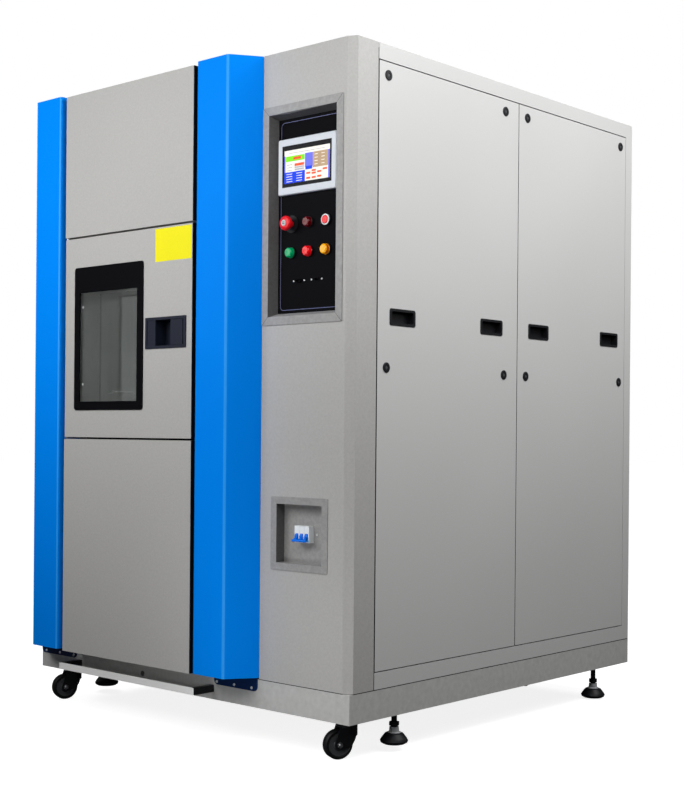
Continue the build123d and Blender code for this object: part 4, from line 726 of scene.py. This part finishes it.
def rounded_outline(name, material, body, x0, x1, z0, z1, radius, width, y):
    """A thin frame with round corners, printed on a face that looks forward."""
    shape = bmesh.new()
    bmesh.ops.create_grid(shape, x_segments=1, y_segments=1, size=0.5)
    bmesh.ops.scale(shape, verts=shape.verts, vec=(x1 - x0, z1 - z0, 1.0))
    bmesh.ops.bevel(
        shape, geom=list(shape.verts), offset=radius, affect="VERTICES", segments=6, profile=0.5, material=-1
    )
    inner = bmesh.ops.inset_region(
        shape, faces=list(shape.faces), thickness=width, use_boundary=True, use_even_offset=True
    )
    ring = set(inner["faces"])
    bmesh.ops.delete(shape, geom=[face for face in shape.faces if face not in ring], context="FACES")
    raised = bmesh.ops.extrude_face_region(shape, geom=list(shape.faces))["geom"]
    top = [part for part in raised if isinstance(part, bmesh.types.BMVert)]
    bmesh.ops.translate(shape, verts=top, vec=(0, 0, INK_HEIGHT))
    place = Matrix.Translation(((x0 + x1) / 2, y, (z0 + z1) / 2)) @ TO_FRONT
    bmesh.ops.transform(shape, verts=shape.verts, matrix=place)
    return finish_piece(name, shape, material, body)


outline_ink = moulded("outline_ink", linear(120, 126, 172), 0.5)
outline = rounded_outline(
    "plate_outline", outline_ink, "cabinet", 0.3755, 0.5895, 1.208, 1.726,
    radius=0.012, width=0.0012, y=PLATE_Y,
)
print("outline faces:", len(outline.data.polygons))

# %% [markdown]
# Bright screws hold the pillars' flanges, the two ports of the control plate and
# the breaker. A screw head this small is a disc with a bevelled rim, because its
# slot would be finer than a pixel of the picture.

# %% screws
def add_disc(shape, radius, height, place, turn, rim=0.0, segments=24):
    """A disc with its axis along a turned Z, rising from a place."""
    made = bmesh.ops.create_cone(
        shape, cap_ends=True, segments=segments, radius1=radius, radius2=radius - rim, depth=height
    )["verts"]
    bmesh.ops.translate(shape, verts=made, vec=(0, 0, height / 2))
    bmesh.ops.transform(shape, verts=made, matrix=Matrix.Translation(place) @ turn)
    return made


FLANGE_SCREWS = (-0.643, -0.573, -0.501, 0.164, 0.2355, 0.306)
FLANGE_Y = -0.668
FLANGE_SCREW_Z = 0.1595
PORT_SCREWS = (0.4265, 0.4665, 0.4935, 0.5315)
PORT_SCREW_Z = 1.287
BREAKER_SCREW = (0.520, -0.636, 0.596)
clip_steel = moulded("clip_steel", linear(224, 226, 228), 0.25)
shape = bmesh.new()
for x in FLANGE_SCREWS:
    add_disc(shape, 0.0042, 0.0022, (x, FLANGE_Y, FLANGE_SCREW_Z), TO_FRONT, 0.0012, 16)
finish_piece("flange_screws", shape, clip_steel, "cabinet")
shape = bmesh.new()
for x in PORT_SCREWS:
    add_disc(shape, 0.0026, 0.0012, (x, PLATE_Y, PORT_SCREW_Z), TO_FRONT, 0.0006, 12)
add_disc(shape, 0.0034, 0.0015, BREAKER_SCREW, TO_FRONT, 0.0008, 12)
finish_piece("small_screws", shape, clip_steel, "cabinet")
print("screws:", len(FLANGE_SCREWS) + len(PORT_SCREWS) + 1)

# %% [markdown]
# The cabinet stands on its plinth, and a black strip of painted shadow runs round
# the joint, where its gap is in shade: along the front of the control column, round
# its bevel and along both sides. One more goes up the right side, behind the fold of
# the control column. The strip is 0.3 mm proud, so a thin box does for each straight
# stretch, and the one on the bevel is turned into place.

# %% seams over the plinth
FACE_Y = -0.666
SIDE_X = 0.668
REAR_Y = 0.745
COLUMN_LEFT = 0.333
LEFT_FRONT_Y = -0.655
FOLD_Y = (-0.5698, -0.5682)
FOLD_TOP = 1.90
SEAM_Z = (0.1852, 0.1870)
SEAM_IN = 0.0001
SEAM_OUT = 0.0003
BEVEL_START = Vector((0.643, FACE_Y))
BEVEL_END = Vector((SIDE_X, -0.652))
shape = bmesh.new()
add_box(shape, COLUMN_LEFT, BEVEL_START.x, FACE_Y - SEAM_OUT, FACE_Y + SEAM_IN, *SEAM_Z)
add_box(shape, SIDE_X - SEAM_IN, SIDE_X + SEAM_OUT, BEVEL_END.y, REAR_Y, *SEAM_Z)
add_box(shape, -SIDE_X - SEAM_OUT, -SIDE_X + SEAM_IN, LEFT_FRONT_Y, REAR_Y, *SEAM_Z)
add_box(shape, SIDE_X - SEAM_IN, SIDE_X + SEAM_OUT, *FOLD_Y, SEAM_Z[1], FOLD_TOP)
along = BEVEL_END - BEVEL_START
middle = (BEVEL_START + BEVEL_END) / 2
made = add_box(shape, -along.length / 2, along.length / 2, -SEAM_OUT, SEAM_OUT, *SEAM_Z)
turn = Matrix.Rotation(math.atan2(along.y, along.x), 4, "Z")
bmesh.ops.transform(shape, verts=made, matrix=Matrix.Translation((middle.x, middle.y, 0)) @ turn)
# painted shadow: black strips where the joints lie in shade
seams = finish_piece("plinth_shadow_lines", shape, dark_coat, "cabinet")
print("seam faces:", len(seams.data.polygons))

# %% [markdown]
# The quarter-turn locks of the side panels have a steel insert in their black
# ring. The emergency stop has a plain grey disc with two short dark bars on its
# head. Discs and boxes are enough, because the widest of them is 17 mm across.

# %% lock inserts and stop disc
LOCK_Y = (-0.5285, 0.0145, 0.129, 0.6745)
LOCK_Z = (1.0485, 1.833)
LOCK_FACE_X = 0.6685
TO_RIGHT = Matrix.Rotation(math.radians(90.0), 4, "Y")
TO_LEFT = Matrix.Rotation(math.radians(-90.0), 4, "Y")
shape = bmesh.new()
for y in LOCK_Y:
    for z in LOCK_Z:
        for side, turn in ((LOCK_FACE_X, TO_RIGHT), (-LOCK_FACE_X, TO_LEFT)):
            add_disc(shape, 0.0048, 0.0012, (side, y, z), turn, 0.0003, 16)
finish_piece("lock_inserts", shape, rim_metal, "cabinet")
grey_ring = moulded("grey_ring", linear(196, 198, 200), 0.35)
stop_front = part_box("estop_button")[0][1]
shape = bmesh.new()
add_disc(shape, 0.0085, 0.0010, (COLUMNS[0], stop_front + 0.0002, UPPER_ROW), TO_FRONT, 0.0006, 24)
finish_piece("stop_disc", shape, grey_ring, "estop_button")
shape = bmesh.new()
for height in (-0.0022, 0.0022):
    add_box(
        shape, COLUMNS[0] - 0.004, COLUMNS[0] + 0.004, stop_front - 0.0011, stop_front - 0.0006,
        UPPER_ROW + height - 0.0008, UPPER_ROW + height + 0.0008,
    )
finish_piece("stop_marks", shape, dark_coat, "estop_button")
print("lock inserts:", 2 * len(LOCK_Y) * len(LOCK_Z))

# %% [markdown]
# A plain yellow sheet is stuck to the door above the latch, two bright clips hold
# the pane at its left edge, and the breaker has a light blue stripe.

# %% stickers and clips
SHEET = (-0.033, 0.124, -0.7422, -0.742, 1.364, 1.4595)
STRIPE = (0.4545, 0.5075, -0.6553, -0.655, 0.5765, 0.5815)
CLIP_Z = (1.251, 1.0145)
yellow_paper = moulded("yellow_paper", linear(250, 240, 0), 0.6, 0.1, 300.0, 0.02)
plates("yellow_sheet", yellow_paper, "door", [SHEET])
shape = bmesh.new()
for z in CLIP_Z:
    add_disc(shape, 0.0042, 0.003, (-0.3745, -0.7355, z), TO_FRONT, 0.002, 16)
finish_piece("pane_clips", shape, clip_steel, "door")
stripe_blue = moulded("stripe_blue", linear(100, 200, 244), 0.35)
plates("breaker_stripe", stripe_blue, "cabinet", [STRIPE])
print("clips:", len(CLIP_Z))

# %% [markdown]
# ## Mitred corners and axle heads
# The control bezel is folded from four strips, and a hairline shows where they
# meet at each corner. A groove cut with a boolean would add many thin triangles,
# so each hairline is a sliver laid on the face and turned by 45 degrees.

# %% mitres
BEZEL = (0.3335, 0.6315, 1.166, 1.768)
BEZEL_FRONT_Y = -0.6686
MITRE_REACH = 0.0155
MITRE_CENTRE = 0.012
seam_ink = moulded("seam_ink", linear(74, 74, 76), 0.6)
shape = bmesh.new()
for x, sx in ((BEZEL[0], 1), (BEZEL[1], -1)):
    for z, sz in ((BEZEL[2], 1), (BEZEL[3], -1)):
        made = add_box(shape, -MITRE_REACH, MITRE_REACH, -0.0001, 0.0001, -0.0004, 0.0004)
        turn = Matrix.Rotation(math.radians(-45.0 * sx * sz), 4, "Y")
        place = Matrix.Translation((x + sx * MITRE_CENTRE, BEZEL_FRONT_Y, z + sz * MITRE_CENTRE))
        bmesh.ops.transform(shape, verts=made, matrix=place @ turn)
mitres = finish_piece("bezel_mitres", shape, seam_ink, "cabinet")
print("mitre faces:", len(mitres.data.polygons))

# %% [markdown]
# Every caster axle has a hexagonal nut with a round end at each side of its fork.
# The axle runs along the wheel's own joint, so the joint's place and axis, read
# from the frame, place them. Numbers for four casters would be slower to check.

# %% axle heads
HEX_REACH = 0.019
DOME_REACH = 0.0225
for joint in frame["joints"]:
    if joint["name"].startswith("caster_roll_"):
        corner = joint["name"][len("caster_roll_"):]
        place = Vector(joint["pos_m"])
        axis = Vector(joint["axis"]).normalized()
        shape = bmesh.new()
        for way in (axis, -axis):
            turn = way.to_track_quat("Z", "Y").to_matrix().to_4x4()
            add_disc(shape, 0.009, 0.0035, place + way * HEX_REACH, turn, 0.0015, 6)
            add_disc(shape, 0.006, 0.003, place + way * DOME_REACH, turn, 0.002, 16)
        finish_piece("axle_heads_" + corner, shape, zinc, "caster_fork_" + corner)
